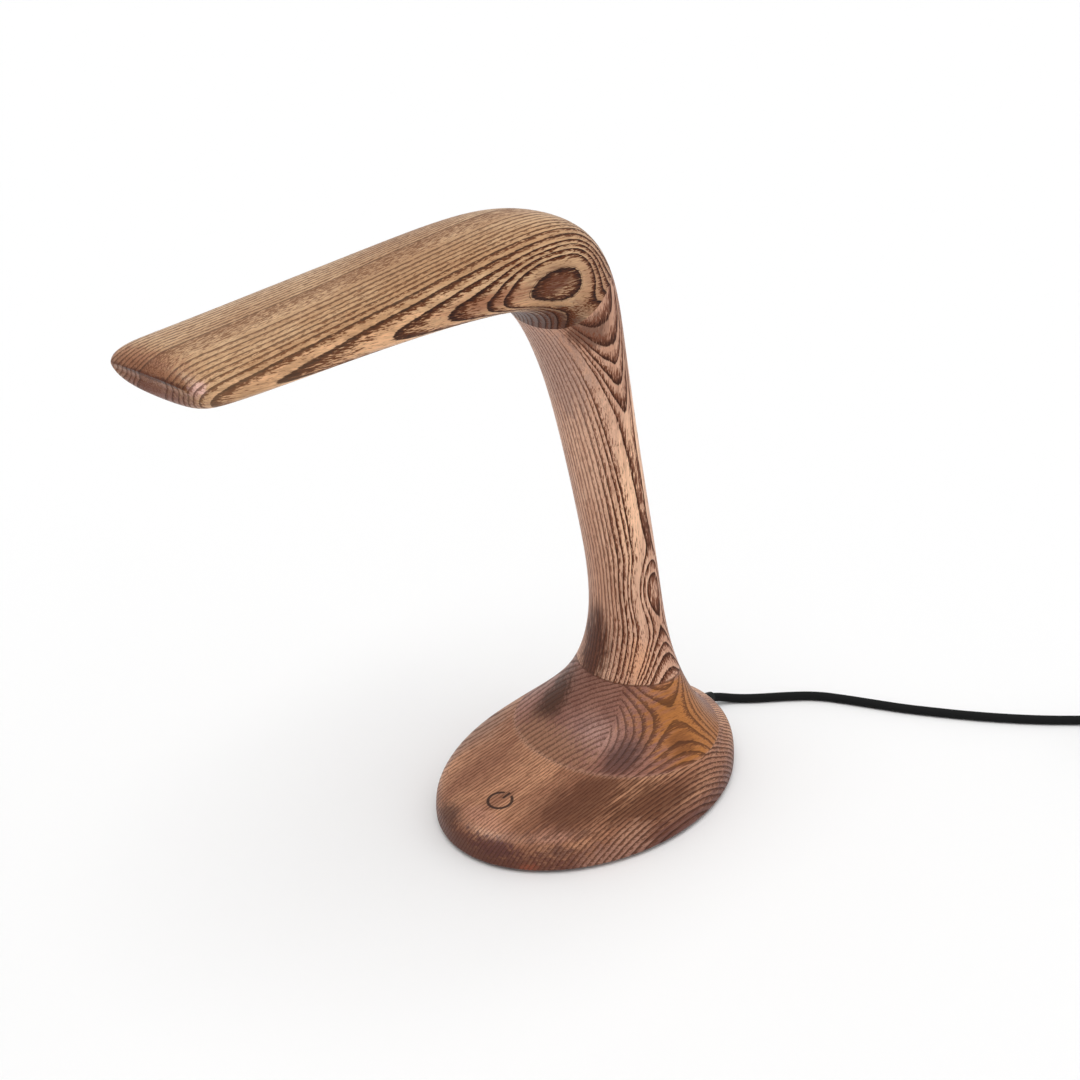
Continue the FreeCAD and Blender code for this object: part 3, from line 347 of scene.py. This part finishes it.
def ash_wood(name, boards, pale, warm, dark, darkest, scorch, stains_and_painted_light=(), seam=None, symbol=False):
    """Oiled, brushed and lightly scorched ash.

    Each ring starts with a sharp dark band of open pores, darkened by the scorching, that fades into pale
    dense wood. Oil leaves the wood satin. The brushed bands are rougher and lie a little lower, and end grain
    drinks more oil and is darker. A block is one board, or two glued on the plane where position . normal =
    offset: seam is that normal and offset in millimetres. scorch says how deep the bands are burnt: a
    direction, two places along it in millimetres, and the depth up to the first and from the second.
    stains_and_painted_light are soft ellipsoids of another tint: centre, reach along x, y and z, colour and
    strength. Most are stains in the wood, and some are painted shade or painted highlights."""
    made, tree = finish(name)
    place = add(tree, "TexCoord", out="Object")
    grain, ring = growth(tree, place, *boards[0])
    if seam:
        other_grain, other_ring = growth(tree, place, *boards[1])
        side = add(tree, "VectorMath", place, Vector(seam[0]), operation="DOT_PRODUCT", out="Value")
        side = add(tree, "Math", side, seam[1] * MM, operation="GREATER_THAN")
        grain = add(tree, "Mix", side, {4: grain, 5: other_grain}, data_type="VECTOR", out=1)
        ring = add(tree, "Mix", side, {2: ring, 3: other_ring})

    # Vessels are 0.3 mm wide and several millimetres long. They are drawn 0.7 mm wide so that they show.
    drawn = add(tree, "VectorMath", grain, (0.16, 1.4, 1.4), operation="MULTIPLY")
    pore = add(tree, "TexNoise", {"Vector": drawn, "Scale": 1.0, "Detail": 2.0, "Roughness": 0.65})
    drawn = add(tree, "VectorMath", grain, (0.03, 2.2, 2.2), operation="MULTIPLY")
    fibre = add(tree, "TexNoise", {"Vector": drawn, "Scale": 1.0, "Detail": 2.0})
    # Bundles of fibres about 2 mm wide took up the scorching and the oil differently.
    drawn = add(tree, "VectorMath", grain, (0.02, 0.5, 0.5), operation="MULTIPLY")
    bundle = add(tree, "TexNoise", {"Vector": drawn, "Scale": 1.0, "Detail": 2.0})
    bundle = add(tree, "Math", bundle, 0.5, operation="SUBTRACT")
    ragged = add(tree, "Math", pore, 0.5, operation="SUBTRACT")
    ring = add(tree, "Math", ragged, 0.22, ring, operation="MULTIPLY_ADD")
    year = add(tree, "Math", ring, operation="FLOOR")
    phase = add(tree, "Math", ring, year, operation="SUBTRACT")
    chance = add(tree, "TexWhiteNoise", {"W": year}, noise_dimensions="1D")
    toward, near, far, weak, strong = scorch
    toward = Vector(toward).normalized()
    burnt = add(tree, "VectorMath", place, toward, operation="DOT_PRODUCT", out="Value")
    burnt = add(tree, "MapRange", burnt, near * MM, far * MM, weak, strong, interpolation_type="SMOOTHSTEP")
    width = add(tree, "Math", chance, 0.2, 0.05, operation="MULTIPLY_ADD")
    width = add(tree, "Math", burnt, 0.78, width, operation="MULTIPLY_ADD")
    rise = add(tree, "MapRange", phase, 0.0, 0.06, interpolation_type="SMOOTHSTEP")
    early = add(tree, "MapRange", phase, 0.05, width, 1.0, 0.0)
    # Where the early wood thins out, its band breaks up into single vessels.
    open_wood = add(tree, "Math", ragged, 2.6, early, operation="MULTIPLY_ADD")
    open_wood = add(tree, "MapRange", open_wood, 0.22, 0.62, interpolation_type="SMOOTHSTEP")
    band = add(tree, "Math", rise, open_wood, operation="MULTIPLY")
    band = add(tree, "Math", band, burnt, operation="MULTIPLY")
    fleck = add(tree, "MapRange", pore, 0.55, 0.66, 0.0, 0.5)
    band = add(tree, "Math", band, fleck, operation="MAXIMUM")
    core = add(tree, "Math", ragged, 1.5, early, operation="MULTIPLY_ADD")
    core = add(tree, "MapRange", core, 0.6, 0.95)

    # Broad change of tone, stains, painted shade and highlights, fine streaks and darker end grain.
    slow = add(tree, "VectorMath", grain, (0.16, 1, 1), operation="MULTIPLY")
    tone = add(tree, "TexNoise", {"Vector": slow, "Scale": 1 / 22, "Detail": 2.0})
    tone = add(tree, "Math", bundle, 0.5, tone, operation="MULTIPLY_ADD")
    tone = add(tree, "MapRange", tone, 0.33, 0.67, interpolation_type="SMOOTHSTEP")
    body = add(tree, "Mix", tone, {6: colour(pale), 7: colour(warm)}, data_type="RGBA", out=2)
    # Each ellipsoid mixes in its tint. Most are stains in the wood, and some are painted shade and painted
    # highlights.
    for centre, reach, tint, strength in stains_and_painted_light:
        away = add(tree, "Math", bundle, 1.2, nearness(tree, place, centre, reach), operation="MULTIPLY_ADD")
        amount = add(tree, "MapRange", away, 0.35, 1.0, strength, 0.0, interpolation_type="SMOOTHSTEP")
        body = add(tree, "Mix", amount, {6: body, 7: colour(tint)}, data_type="RGBA", out=2)
    streak = add(tree, "MapRange", fibre, 0.3, 0.7, 0.8, 1.12)
    body = add(tree, "Mix", 1.0, {6: body, 7: streak}, data_type="RGBA", blend_type="MULTIPLY", out=2)
    normal, lengthwise = add(tree, "TexCoord", out="Normal"), Vector(boards[0][1]).normalized()
    facing = add(tree, "VectorMath", normal, lengthwise, operation="DOT_PRODUCT", out="Value")
    facing = add(tree, "Math", facing, operation="ABSOLUTE")
    end_grain = add(tree, "MapRange", facing, 0.45, 1.0, 0.0, 0.45, interpolation_type="SMOOTHSTEP")
    body = add(tree, "Mix", end_grain, {6: body, 7: colour(dark)}, data_type="RGBA", out=2)
    band_colour = add(tree, "Mix", core, {6: colour(dark), 7: colour(darkest)}, data_type="RGBA", out=2)
    body = add(tree, "Mix", band, {6: body, 7: band_colour}, data_type="RGBA", out=2)
    height = add(tree, "Math", band, -1.0, operation="MULTIPLY")
    height = add(tree, "Math", fibre, 0.35, height, operation="MULTIPLY_ADD")
    if symbol:
        mark = standby_sign(tree, place)
        body = add(tree, "Mix", mark, {6: body, 7: colour("#2a1710")}, data_type="RGBA", out=2)
        height = add(tree, "Math", mark, -2.5, height, operation="MULTIPLY_ADD")
    rough = add(tree, "Math", band, 0.3, 0.36, operation="MULTIPLY_ADD")
    bump = add(tree, "Bump", {"Height": height, "Strength": 0.5, "Distance": 0.00012})
    shader = add(tree, "BsdfPrincipled", {"Base Color": body, "Roughness": rough, "Normal": bump,
                                          "IOR": 1.5, "Specular IOR Level": 0.16})
    add(tree, "OutputMaterial", shader)
    return made


def standby_sign(tree, place, middle=-79.4, ring=7.2, half_gap=2.6, bar_middle=5.6, bar_half=2.2):
    """Strength of the burnt standby sign on the base: a ring open towards the neck, with a bar in the gap,
    all in millimetres. Its lines are full strength up to 0.7 mm from their middle and fade out at 1.1 mm."""
    local = add(tree, "VectorMath", place, (middle * MM, 0, 0), operation="SUBTRACT")
    flat = add(tree, "VectorMath", local, (1000, 1000, 0), operation="MULTIPLY")
    x = add(tree, "SeparateXYZ", flat, out="X")
    y = add(tree, "SeparateXYZ", flat, out="Y")
    aside = add(tree, "Math", y, operation="ABSOLUTE")
    radius = add(tree, "VectorMath", flat, operation="LENGTH", out="Value")
    off_ring = add(tree, "Math", radius, ring, operation="SUBTRACT")
    off_ring = add(tree, "Math", off_ring, operation="ABSOLUTE")
    ahead = add(tree, "Math", x, 0.0, operation="GREATER_THAN")
    narrow = add(tree, "Math", aside, half_gap, operation="LESS_THAN")
    opened = add(tree, "Math", ahead, narrow, operation="MULTIPLY")
    off_ring = add(tree, "Math", opened, 10.0, off_ring, operation="MULTIPLY_ADD")
    along = add(tree, "Math", x, bar_middle, operation="SUBTRACT")
    along = add(tree, "Math", along, operation="ABSOLUTE")
    along = add(tree, "Math", along, bar_half, operation="SUBTRACT")
    off_bar = add(tree, "Math", aside, along, operation="MAXIMUM")
    line = add(tree, "Math", off_ring, off_bar, operation="MINIMUM")
    return add(tree, "MapRange", line, 0.7, 1.1, 0.9, 0.0, interpolation_type="SMOOTHSTEP")


# The pith line, the years and the swells of each board. The head's and the neck's swells make their eyes.
head_board = (
    (-100, 90, 390), (-1, -0.1, 0.04),
    [(0, -8), (40, 0), (60, 8.5), (86, 20), (87.5, 20.3), (99, 20.42), (101, 21), (108, 23), (115, 25.5),
     (121, 28), (124.7, 29), (128.1, 30), (130.4, 31), (132.6, 32), (134.9, 33), (137.3, 33.8),
     (139.5, 33.95), (139.7, 35), (142.5, 35.6), (146, 36), (176, 46)],
    [((-72, -42, 344), (52, 46, 26), 6.5), ((-22, -30, 330), (44, 44, 44), -9)])
neck_board = (
    (30, 90, 80), (-0.13, 0, 1),
    [(0, -18), (50, 0), (108.3, 21), (110, 22), (111.2, 22.6), (114.3, 22.95), (115.6, 24), (116.8, 25),
     (118.3, 26), (119.8, 27), (122.6, 28), (126, 29), (130, 30.3), (160, 41)],
    [((23, -24, 132), (34, 34, 34), 3.6)])
collar_near = (
    (35.1, 32.9, -5.2), (0.97, -0.23, 0.06), [(0, -32), (86.7, 0), (94.7, 3), (113.3, 10), (200, 42)])
collar_far = ((2, -93.5, -88.3), (-0.98, -0.19, 0.08), [(0, 0), (260, 100)])
base_board = ((3.6, 94.3, 68.6), (1, -0.04, 0.06), [(0, 0), (240, 115)])

# The head is the palest board. Its scorching is deepest on the near side, round the eye and at the tip.
# Painted shade darkens its underside at the elbow and under the tip, and a painted highlight lightens the
# tip's near corner.
ash_head = ash_wood(
    "oiled ash, head board", [head_board], "#d4ad85", "#b98e67", "#5f2f13", "#260b01",
    scorch=((0.1, -1, -0.3), -100, -76, 0.72, 1.0),
    stains_and_painted_light=[((-165, -46, 335), (165, 20, 22), "#f0b88a", 0.9),
            ((-118, -38, 344), (44, 9, 9), "#9c6445", 0.85), ((-289, 5, 340), (18, 50, 30), "#9c6547", 0.8),
            # Painted shade under the tip, then a dark line along the tip's lower edge.
            ((-284, 0, 332), (16, 42, 9), "#7a4636", 0.9), ((-287, -6, 341.8), (6, 40, 2.2), "#34170d", 1.0),
            # A painted highlight on the tip's near corner, then painted shade under the head at the elbow.
            ((-283, -31, 341.5), (6, 5, 5), "#e6b9ac", 0.85), ((-56, -8, 315), (50, 44, 25), "#55392f", 1.0),
            ((-32, -36, 338), (26, 24, 28), "#aa7a58", 0.8), ((-72, -40, 344), (26, 14, 11), "#6a3a22", 1.0)])
# The neck is pinkish, darker at its foot. Painted shade darkens it under the elbow, and a painted highlight
# lightens its near flank. A tight dark line marks the joint below it.
ash_neck = ash_wood(
    "oiled ash, neck board", [neck_board], "#e2b498", "#c6957a", "#7a4934", "#3a1a0a",
    scorch=((0.3, -1, 0), 0, 18, 0.68, 1.0),
    # Painted shade under the elbow: a greyer tint on its under side, and a darker patch below the mitre.
    stains_and_painted_light=[((-36, 0, 280), (40, 30, 55), "#b08c7c", 0.85), ((-36, -26, 308), (22, 14, 15), "#6a4637", 0.85),
            # A painted highlight down the near flank, then the darker foot.
            ((8, -28, 190), (18, 20, 100), "#fccba6", 0.9), ((13, 8, 88), (24, 18, 42), "#4e2b1d", 1.0),
            ((22, -20, 84), (12, 12, 22), "#e3a883", 0.8),
            ((0, 0, neck_joint), (900, 900, 0.8), "#55301f", 0.7)])
# The collar is brown, golden where its near flank meets the neck. Its lower joint shows a pale line of glue.
ash_collar = ash_wood(
    "oiled ash, collar boards", [collar_near, collar_far], "#ad7c6b", "#8f6052", "#542c1a", "#2f140a",
    scorch=((0.4, -1, 0), 10, 50, 0.65, 0.72),
    stains_and_painted_light=[((44, -54, 50), (56, 50, 50), "#ae6f39", 1.0), ((0, 31, 51), (34, 18, 30), "#4c2c1a", 1.0),
            ((-30, 14, 35), (36, 52, 13), "#a07258", 1.0), ((-8, -36, 38), (30, 13, 12), "#5d3d37", 0.9),
            ((22, -57, 44), (14, 12, 12), "#834f2b", 0.8),
            ((0, 0, collar_joint), (900, 900, 0.7), "#bd9178", 0.35),
            ((0, 0, neck_joint), (900, 900, 0.7), "#55301f", 0.7)],
    seam=((0, 1, -0.13), -26.6))
# The base is darkest on its rim, where the scorching caught the edge and painted shade darkens the sides.
# Painted highlights make its crest at the front and a patch on its near side paler.
ash_base = ash_wood(
    "oiled ash, base board", [base_board], "#d39b76", "#a06d52", "#5e3522", "#33160d",
    scorch=((0.2, -1, 0), 20, 70, 0.65, 0.85),
    # Darker towards the bottom of the rim, from scorching and painted shade, then the front crest's painted
    # highlight.
    stains_and_painted_light=[((0, 0, -6), (420, 420, 32), "#643b33", 0.95), ((-96, -4, 23), (10, 24, 4.5), "#c79078", 0.55),
            # The crest's painted highlight goes on round the near front corner.
            ((-80, -44, 22), (20, 17, 5), "#c79078", 0.7), ((-42, -40, 26), (76, 26, 14), "#643d2b", 0.85),
            ((-18, -68, 25), (56, 24, 12), "#68402a", 0.85), ((-34, 66, 24), (52, 22, 14), "#94786a", 0.6),
            ((-100, 0, 8), (30, 44, 12), "#5c3b36", 0.85), ((-103, -18, 14), (12, 24, 7), "#54343a", 0.8),
            ((-102, 20, 17), (12, 16, 9), "#4f342b", 0.8), ((-84, -51, 15), (14, 12, 5), "#5f4038", 0.6),
            # The first tint here is a painted highlight on the near side of the rim.
            ((-43, -70, 14), (20, 14, 12), "#bd8e74", 0.6), ((-55, -68, 5), (40, 18, 13), "#a97c68", 0.8),
            ((-95, -38, 4), (6, 9, 5), "#a85a40", 0.7),
            ((0, 0, collar_joint), (900, 900, 0.7), "#bd9178", 0.35)],
    symbol=True)


# ---------------------------------------------------------------- wooden blocks
# The base's pocket, downwards: the driver's well, the ballast's room and the cover's recess.
well, room, recess = (42.5, 30), (92, 62), (100.5, 70.5)
pocket = [oval(*well, 27.0, 9, x=17.5), oval(*well, 16.5, 9, x=17.5), oval(*room, 16.5), oval(*room, 3.5),
          oval(*recess, 3.5), oval(*recess, 1.5)]
base_skin = np.concatenate(pocket + [carved(at_base, at_collar, 110)])
base_block = piece("base_slab_ash", *stack(base_skin), ash_base)
collar_block = piece("collar_block_ash", *stack(carved(at_collar, at_neck, 48)), ash_collar)
neck_block = piece("neck_block_ash", *stack(carved(at_neck, at_mitre, 110)), ash_neck)
head_block = piece("head_block_ash", *stack(carved(at_mitre, at_tip, 140)), ash_head)

# The lead's bore runs from the pocket up the neck to the elbow, and on to the slot for the light module.
bore_radius, bush_radius = 4.0, 4.35
below_foot, bore_elbow, bore_end = (53.7, 0, 24), (-20, 0, 335.8), (-91.6, 0, 335.8)
bush_inside, bush_outside = (84, 0, 8), (114, 0, 8)
module_slot = (-261.6, -90.6, -12.2, 12.2, 301.3, 341.3)


def bore():
    """A new cutter for the bore's long straight part."""
    return cutter(rod(below_foot, bore_elbow, bore_radius))


cut_away(base_block, [bore(), cutter(rod(bush_inside, bush_outside, bush_radius))])
cut_away(collar_block, [bore()])
cut_away(neck_block, [bore()])
cut_away(head_block, [bore(), cutter(rod(bore_elbow, bore_end, bore_radius)), cutter(block(*module_slot))])
for made, node in ((base_block, "base_slab"), (collar_block, "collar_block"), (neck_block, "neck_block"),
                   (head_block, "head_block")):
    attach(made, "root")
    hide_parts(node)


# ---------------------------------------------------------------- mains lead
cord_radius, cord_sides = 3.0, 20
lying = 3.1  # height of the middle line where the cord lies on the table
cord_start = 111.0
# The route from the bush down to the table and in a loose S to the coil, as x beyond the start, y and z.
cord_lay = [(0, 0, 8), (10.5, 0, 8), (16.5, -0.8, 7.2), (24, -3.4, 5.1), (31, -8.5, lying),
            (40, -18.5, lying), (58.5, -34, lying), (73, -48.5, lying), (82, -66, lying), (91, -86, lying),
            (99, -103, lying), (108.5, -119.5, lying), (118.5, -136.5, lying), (131.5, -156, lying),
            (147, -176.5, lying), (164, -195.5, lying), (183, -215, lying)]
coil_middle = (cord_start + 177, -264.0)


def coil_turns(first=42, step=15, whole_turns=6, more_steps=9, inner=25.5, wider=19, low=4.0, lift=6.1):
    """Control points of the coil, clockwise from the first angle and a step of degrees apart: a flat spiral
    inwards on the table, a smoothstep climb of one diameter, and a flat spiral outwards on top of it."""
    steps = np.arange(0, whole_turns * 360 // step + more_steps)
    angle = np.radians(first - step * steps)
    share = steps / steps[-1]
    radius = inner + wider * np.abs(1 - 2 * share)
    climb = np.clip((share - 0.475) / 0.05, 0, 1)
    height = low + lift * climb * climb * (3 - 2 * climb)
    level = [coil_middle[0] + radius * np.cos(angle), coil_middle[1] + radius * np.sin(angle)]
    return np.column_stack([*level, height])


# Off the top of the coil, down to the height of the plug's boot.
tail = [(282.5, -311.5, 9.6), (270, -314, 8.2), (262, -314.8, 7.3), (256.7, -314.8, 7.1), (252, -314.8, 7.1)]
cord_points = np.concatenate([np.array(cord_lay) + (cord_start, 0, 0), coil_turns(), tail])


def smooth_line(points):
    """The cord's middle line: an open NURBS spline of order 3 with these control points, as Blender samples
    it."""
    data = bpy.data.curves.new("line", "CURVE")
    data.dimensions = "3D"
    line = data.splines.new("NURBS")
    line.points.add(len(points) - 1)
    line.points.foreach_set("co", np.column_stack([points * MM, np.ones(len(points))]).ravel())
    line.order_u = 3
    line.use_endpoint_u = True
    line.resolution_u = 6
    held = bpy.data.objects.new("line", data)
    bpy.context.scene.collection.objects.link(held)
    view = bpy.context.evaluated_depsgraph_get()
    mesh = bpy.data.meshes.new_from_object(held.evaluated_get(view))
    places = np.zeros(len(mesh.vertices) * 3)
    mesh.vertices.foreach_get("co", places)
    bpy.data.objects.remove(held)
    return places.reshape(-1, 3) / MM


def swept(path, radius, places):
    """Rings square to a path that never stands upright: each ring is spanned by the level direction across
    the path and the direction square to both."""
    way = np.gradient(path, axis=0)
    way /= np.linalg.norm(way, axis=1)[:, None]
    side = np.cross(way, [0, 0, 1])
    side /= np.linalg.norm(side, axis=1)[:, None]
    up = np.cross(side, way)
    angle = -2 * np.pi * np.arange(places) / places
    ring = np.cos(angle)[None, :, None] * side[:, None] + np.sin(angle)[None, :, None] * up[:, None]
    return path[:, None] + ring * radius


def wrap(made, path, places, radius):
    """A UV map for a swept tube: U goes once round, and V grows by one for each circumference along it."""
    run = np.concatenate([[0], np.cumsum(np.linalg.norm(np.diff(path, axis=0), axis=1))])
    mesh = made.data
    layer = mesh.uv_layers.new(name="wrap")
    corner = np.zeros(len(mesh.loops), int)
    mesh.loops.foreach_get("vertex_index", corner)
    quads = (len(path) - 1) * places
    row, place = np.divmod(corner, places)
    u = place / places
    # The last face of each ring comes back to its first point, where U is 1 and not 0.
    face = np.arange(len(corner)) // 4
    wrapped = (face < quads) & (face % places == places - 1) & (place == 0)
    u = np.where(wrapped, 1.0, u)
    v = run[np.clip(row, 0, len(path) - 1)] / (2 * math.pi * radius)
    layer.data.foreach_set("uv", np.column_stack([u, v]).ravel())


def braided_cotton(yarns_round=12):
    """Braided cotton sleeve, black: two sets of 12 yarns crossing at 45 degrees, each 1.1 mm wide. It is
    matt, with a faint sheen where the yarns bend over each other."""
    made, tree = finish("braided black cotton")
    wound = add(tree, "TexCoord", out="UV")
    u, v = add(tree, "SeparateXYZ", wound, out=0), add(tree, "SeparateXYZ", wound, out=1)
    yarns = []
    for way in ("ADD", "SUBTRACT"):
        turn = add(tree, "Math", u, v, operation=way)
        turn = add(tree, "Math", turn, 2 * math.pi * yarns_round, operation="MULTIPLY")
        yarns.append(add(tree, "Math", turn, operation="SINE"))
    over = add(tree, "Math", *yarns, operation="MULTIPLY")
    height = add(tree, "Math", over, 0.5, 0.5, operation="MULTIPLY_ADD")
    # Raised yarns are painted lighter and the hollows between them darker: painted highlight and painted
    # shade.
    shade = add(tree, "Mix", height, {6: colour("#060606"), 7: colour("#161617")}, data_type="RGBA", out=2)
    bump = add(tree, "Bump", {"Height": height, "Strength": 0.6, "Distance": 0.0002})
    shader = add(tree, "BsdfPrincipled", {"Base Color": shade, "Roughness": 0.85, "Normal": bump,
                                          "Sheen Weight": 0.03, "Specular IOR Level": 0.15})
    add(tree, "OutputMaterial", shader)
    return made


cord_line = smooth_line(cord_points)
cord = piece("mains_lead", *stack(swept(cord_line, cord_radius, cord_sides)), braided_cotton())
wrap(cord, cord_line, cord_sides, cord_radius)
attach(cord, "root")
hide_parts("power_cord", "power_cord_coil", "power_cord_end")


# ---------------------------------------------------------------- strap round the coil
tie_angle = math.radians(150)


def strap(width=9.0, thickness=0.9, clearance=0.05, places=144, coil_reach=60):
    """A band round the coil's turns in the upright plane through its middle at the tie's angle. In direction
    d the band lies at c + r d, where c is the turn that reaches furthest along d, so it runs straight from
    turn to turn. r goes from just over the cord's radius to that and the thickness. The band's section is
    four corners, carried round."""
    out = np.array([math.cos(tie_angle), math.sin(tie_angle)])
    across = np.array([-out[1], out[0]])
    flat = cord_line[:, :2] - coil_middle
    beyond, aside = flat @ out, flat @ across
    met = np.flatnonzero((aside[:-1] * aside[1:] < 0) & (beyond[:-1] > 0) & (beyond[:-1] < coil_reach))
    share = (aside[met] / (aside[met] - aside[met + 1]))[:, None]
    ends = np.column_stack([beyond, cord_line[:, 2]])
    turns = ends[met] * (1 - share) + ends[met + 1] * share
    angle = -2 * np.pi * np.arange(places) / places
    way = np.column_stack([np.cos(angle), np.sin(angle)])
    furthest = turns[np.argmax(way @ turns.T, axis=1)]
    inside = cord_radius + clearance
    inner, outer = furthest + way * inside, furthest + way * (inside + thickness)
    corners = np.stack([inner, outer, outer, inner], 1)
    shift = np.array([-1, -1, 1, 1]) * width / 2
    level = np.array(coil_middle) + corners[..., :1] * out + shift[:, None] * across
    rings = np.concatenate([level, corners[..., 1:]], -1)
    return stack(np.concatenate([rings, rings[:1]]), closed=False)


def woven_nylon(rib=0.8):
    """Woven nylon strap, black: a twill of fine ribs, matt, with a painted highlight along the top of each
    rib.
    The wave texture's scale is the number of ribs in a metre over 20."""
    made, tree = finish("woven black nylon")
    place = add(tree, "TexCoord", out="Object")
    ribs = add(tree, "Mapping", {"Vector": place, "Rotation": (0, 0, math.radians(45) + tie_angle)})
    ribs = add(tree, "TexWave", {"Vector": ribs, "Scale": 1000 / rib / 20, "Distortion": 0.4}, out="Fac")
    # The top of each rib is painted lighter: a painted highlight.
    shade = add(tree, "Mix", ribs, {6: colour("#0b0b0c"), 7: colour("#232326")}, data_type="RGBA", out=2)
    bump = add(tree, "Bump", {"Height": ribs, "Strength": 0.5, "Distance": 0.0002})
    shader = add(tree, "BsdfPrincipled", {"Base Color": shade, "Roughness": 0.8, "Normal": bump,
                                          "Specular IOR Level": 0.2})
    add(tree, "OutputMaterial", shader)
    return made


tie = piece("coil_strap", *strap(), woven_nylon())
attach(tie, "root")
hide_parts("coil_tie")


# ---------------------------------------------------------------- simpler finishes
def plain(name, code, roughness, grain=0.5, metallic=0.0, amount=0.1, gloss=0.5):
    """A moulded, rolled or cast finish: one colour with a fine texture of the given size in millimetres. The
    texture takes up to a fifth off the colour and moves the roughness by up to 0.06 either way."""
    made, tree = finish(name)
    place = add(tree, "TexCoord", out="Object")
    noise = add(tree, "TexNoise", {"Vector": place, "Scale": 1000 / grain, "Detail": 2.0})
    worn = tuple(part * 0.8 for part in colour(code)[:3]) + (1.0,)
    shade = add(tree, "Mix", noise, {6: colour(code), 7: worn}, data_type="RGBA", out=2)
    rough = add(tree, "Math", noise, 0.12, roughness - 0.06, operation="MULTIPLY_ADD")
    bump = add(tree, "Bump", {"Height": noise, "Strength": amount, "Distance": 0.0001})
    shader = add(tree, "BsdfPrincipled", {"Base Color": shade, "Roughness": rough, "Normal": bump})
    shader.node.inputs["Metallic"].default_value = metallic
    shader.node.inputs["Specular IOR Level"].default_value = gloss
    add(tree, "OutputMaterial", shader)
    return made


finishes = {
    # Beech is pale and close grained, with flecks about a millimetre long.
    "beech_dowel": plain("turned beech", "#c9a27a", 0.6, 1.2, amount=0.2),
    # Rubber and soft PVC are matt, with the fine spark texture of their mould.
    "black_rubber": plain("moulded black rubber", "#161616", 0.75, 0.6, amount=0.3, gloss=0.25),
    "black_moulding": plain("moulded black PVC", "#0c0c0d", 0.55, 0.5, amount=0.3, gloss=0.25),
    # A cotton sleeve is matt, with yarns about a millimetre wide.
    "black_textile": plain("cotton sleeve", "#0c0c0d", 0.85, 1.1, amount=0.4, gloss=0.2),
    # Powder coating has a slight orange peel, and takes a dull light.
    "black_steel": plain("powder coated steel", "#1a1a1b", 0.5, 0.8, amount=0.3),
    # Bare metals: zinc is bluish with a fine spangle, sawn steel duller, and bronze leaf smooth and warm.
    "zinc_steel": plain("zinc plated steel", "#b4b6b8", 0.32, 0.5, 1.0),
    "raw_steel": plain("sawn steel", "#77797b", 0.45, 0.7, 1.0, amount=0.3),
    "bronze_leaf": plain("phosphor bronze", "#c08a55", 0.3, 0.5, 1.0),
    # Solder mask is glossy and a little uneven over the copper.
    "green_board": plain("green solder mask", "#14532d", 0.35, 1.0),
    "white_board": plain("white solder mask", "#e9e9e4", 0.35, 1.0),
    # The phosphor of an unlit LED is a yellow gel, and a moulded chip is matt black.
    "led_phosphor": plain("phosphor filled silicone", "#f0cf62", 0.35, 0.4),
    "black_component": plain("moulded epoxy", "#151516", 0.5, 0.4, gloss=0.3),
    # Nylon and ABS mouldings have an even satin face.
    "white_housing": plain("moulded nylon", "#e4e3de", 0.5, 0.5),
    "grey_cap": plain("moulded grey ABS", "#75777a", 0.5, 0.5),
    # Anodising leaves extruded aluminium silvery and satin.
    "aluminium_profile": plain("anodised aluminium", "#c3c5c8", 0.35, 0.4, 1.0),
    # The opal cover is milky, and hides the single LEDs.
    "opal_cover": plain("opal polycarbonate", "#eeeeec", 0.4, 0.6),
    # Wire insulation is smooth soft PVC.
    "brown_insulation": plain("brown PVC", "#4a2314", 0.4, 0.5),
    "blue_insulation": plain("blue PVC", "#1d3f96", 0.4, 0.5),
    "white_insulation": plain("white PVC", "#dddcd8", 0.4, 0.5),
    # Nickel on turned brass is bright and slightly yellow.
    "nickel_pin": plain("nickel plated brass", "#c9c5bb", 0.22, 0.5, 1.0),
}
slots = {row["node"]: row["material_slot"] for row in frame["record"]["subparts"]}
for node, made in cad.items():
    if slots[node] in finishes:
        made.data.materials.clear()
        made.data.materials.append(finishes[slots[node]])


# ---------------------------------------------------------------- studio
def studio(far=60):
    """A pale floor that reaches far metres each way, under a bright surround, brightest at the horizon. Three
    soft suns, as the camera sees them: a key from above on the left, a weak fill from the right, and a gleam
    from the upper left that only shows as shine. Suns light the whole floor alike, so it is the same pale
    grey everywhere."""
    sheet = bpy.data.meshes.new("floor")
    corners = [(-far, -far, 0), (far, -far, 0), (far, far, 0), (-far, far, 0)]
    sheet.from_pydata(corners, [], [(0, 1, 2, 3)])
    floor = bpy.data.objects.new("floor", sheet)
    made, tree = finish("pale floor")
    shader = add(tree, "BsdfPrincipled", {"Base Color": (0.94, 0.94, 0.94, 1), "Roughness": 0.9,
                                          "Specular IOR Level": 0.0})
    add(tree, "OutputMaterial", shader)
    floor.data.materials.append(made)
    bpy.context.scene.collection.objects.link(floor)
    world = bpy.data.worlds.new("studio")
    world.use_nodes = True
    tree = world.node_tree
    height = add(tree, "SeparateXYZ", add(tree, "TexCoord", out="Generated"), out="Z")
    light = add(tree, "MapRange", height, 0.1, 0.4, 0.97, 0.5, interpolation_type="SMOOTHSTEP")
    tree.links.new(light, tree.nodes["Background"].inputs["Color"])
    bpy.context.scene.world = world
    suns = (("key", (-0.5, -0.2, 1.6), 50, 1.5), ("fill", (0.9, -1.0, 0.8), 80, 0.5),
            ("gleam", (-0.45, 0.3, 0.85), 32, 3.0))
    for name, place, width, power in suns:
        lamp = bpy.data.lights.new(name, "SUN")
        lamp.angle = math.radians(width)
        lamp.energy = power
        held = bpy.data.objects.new(name, lamp)
        held.rotation_euler = (-Vector(place)).to_track_quat("-Z", "Y").to_euler()
        held.visible_diffuse = name != "gleam"
        bpy.context.scene.collection.objects.link(held)
    bpy.context.scene.view_settings.view_transform = "Standard"


studio()
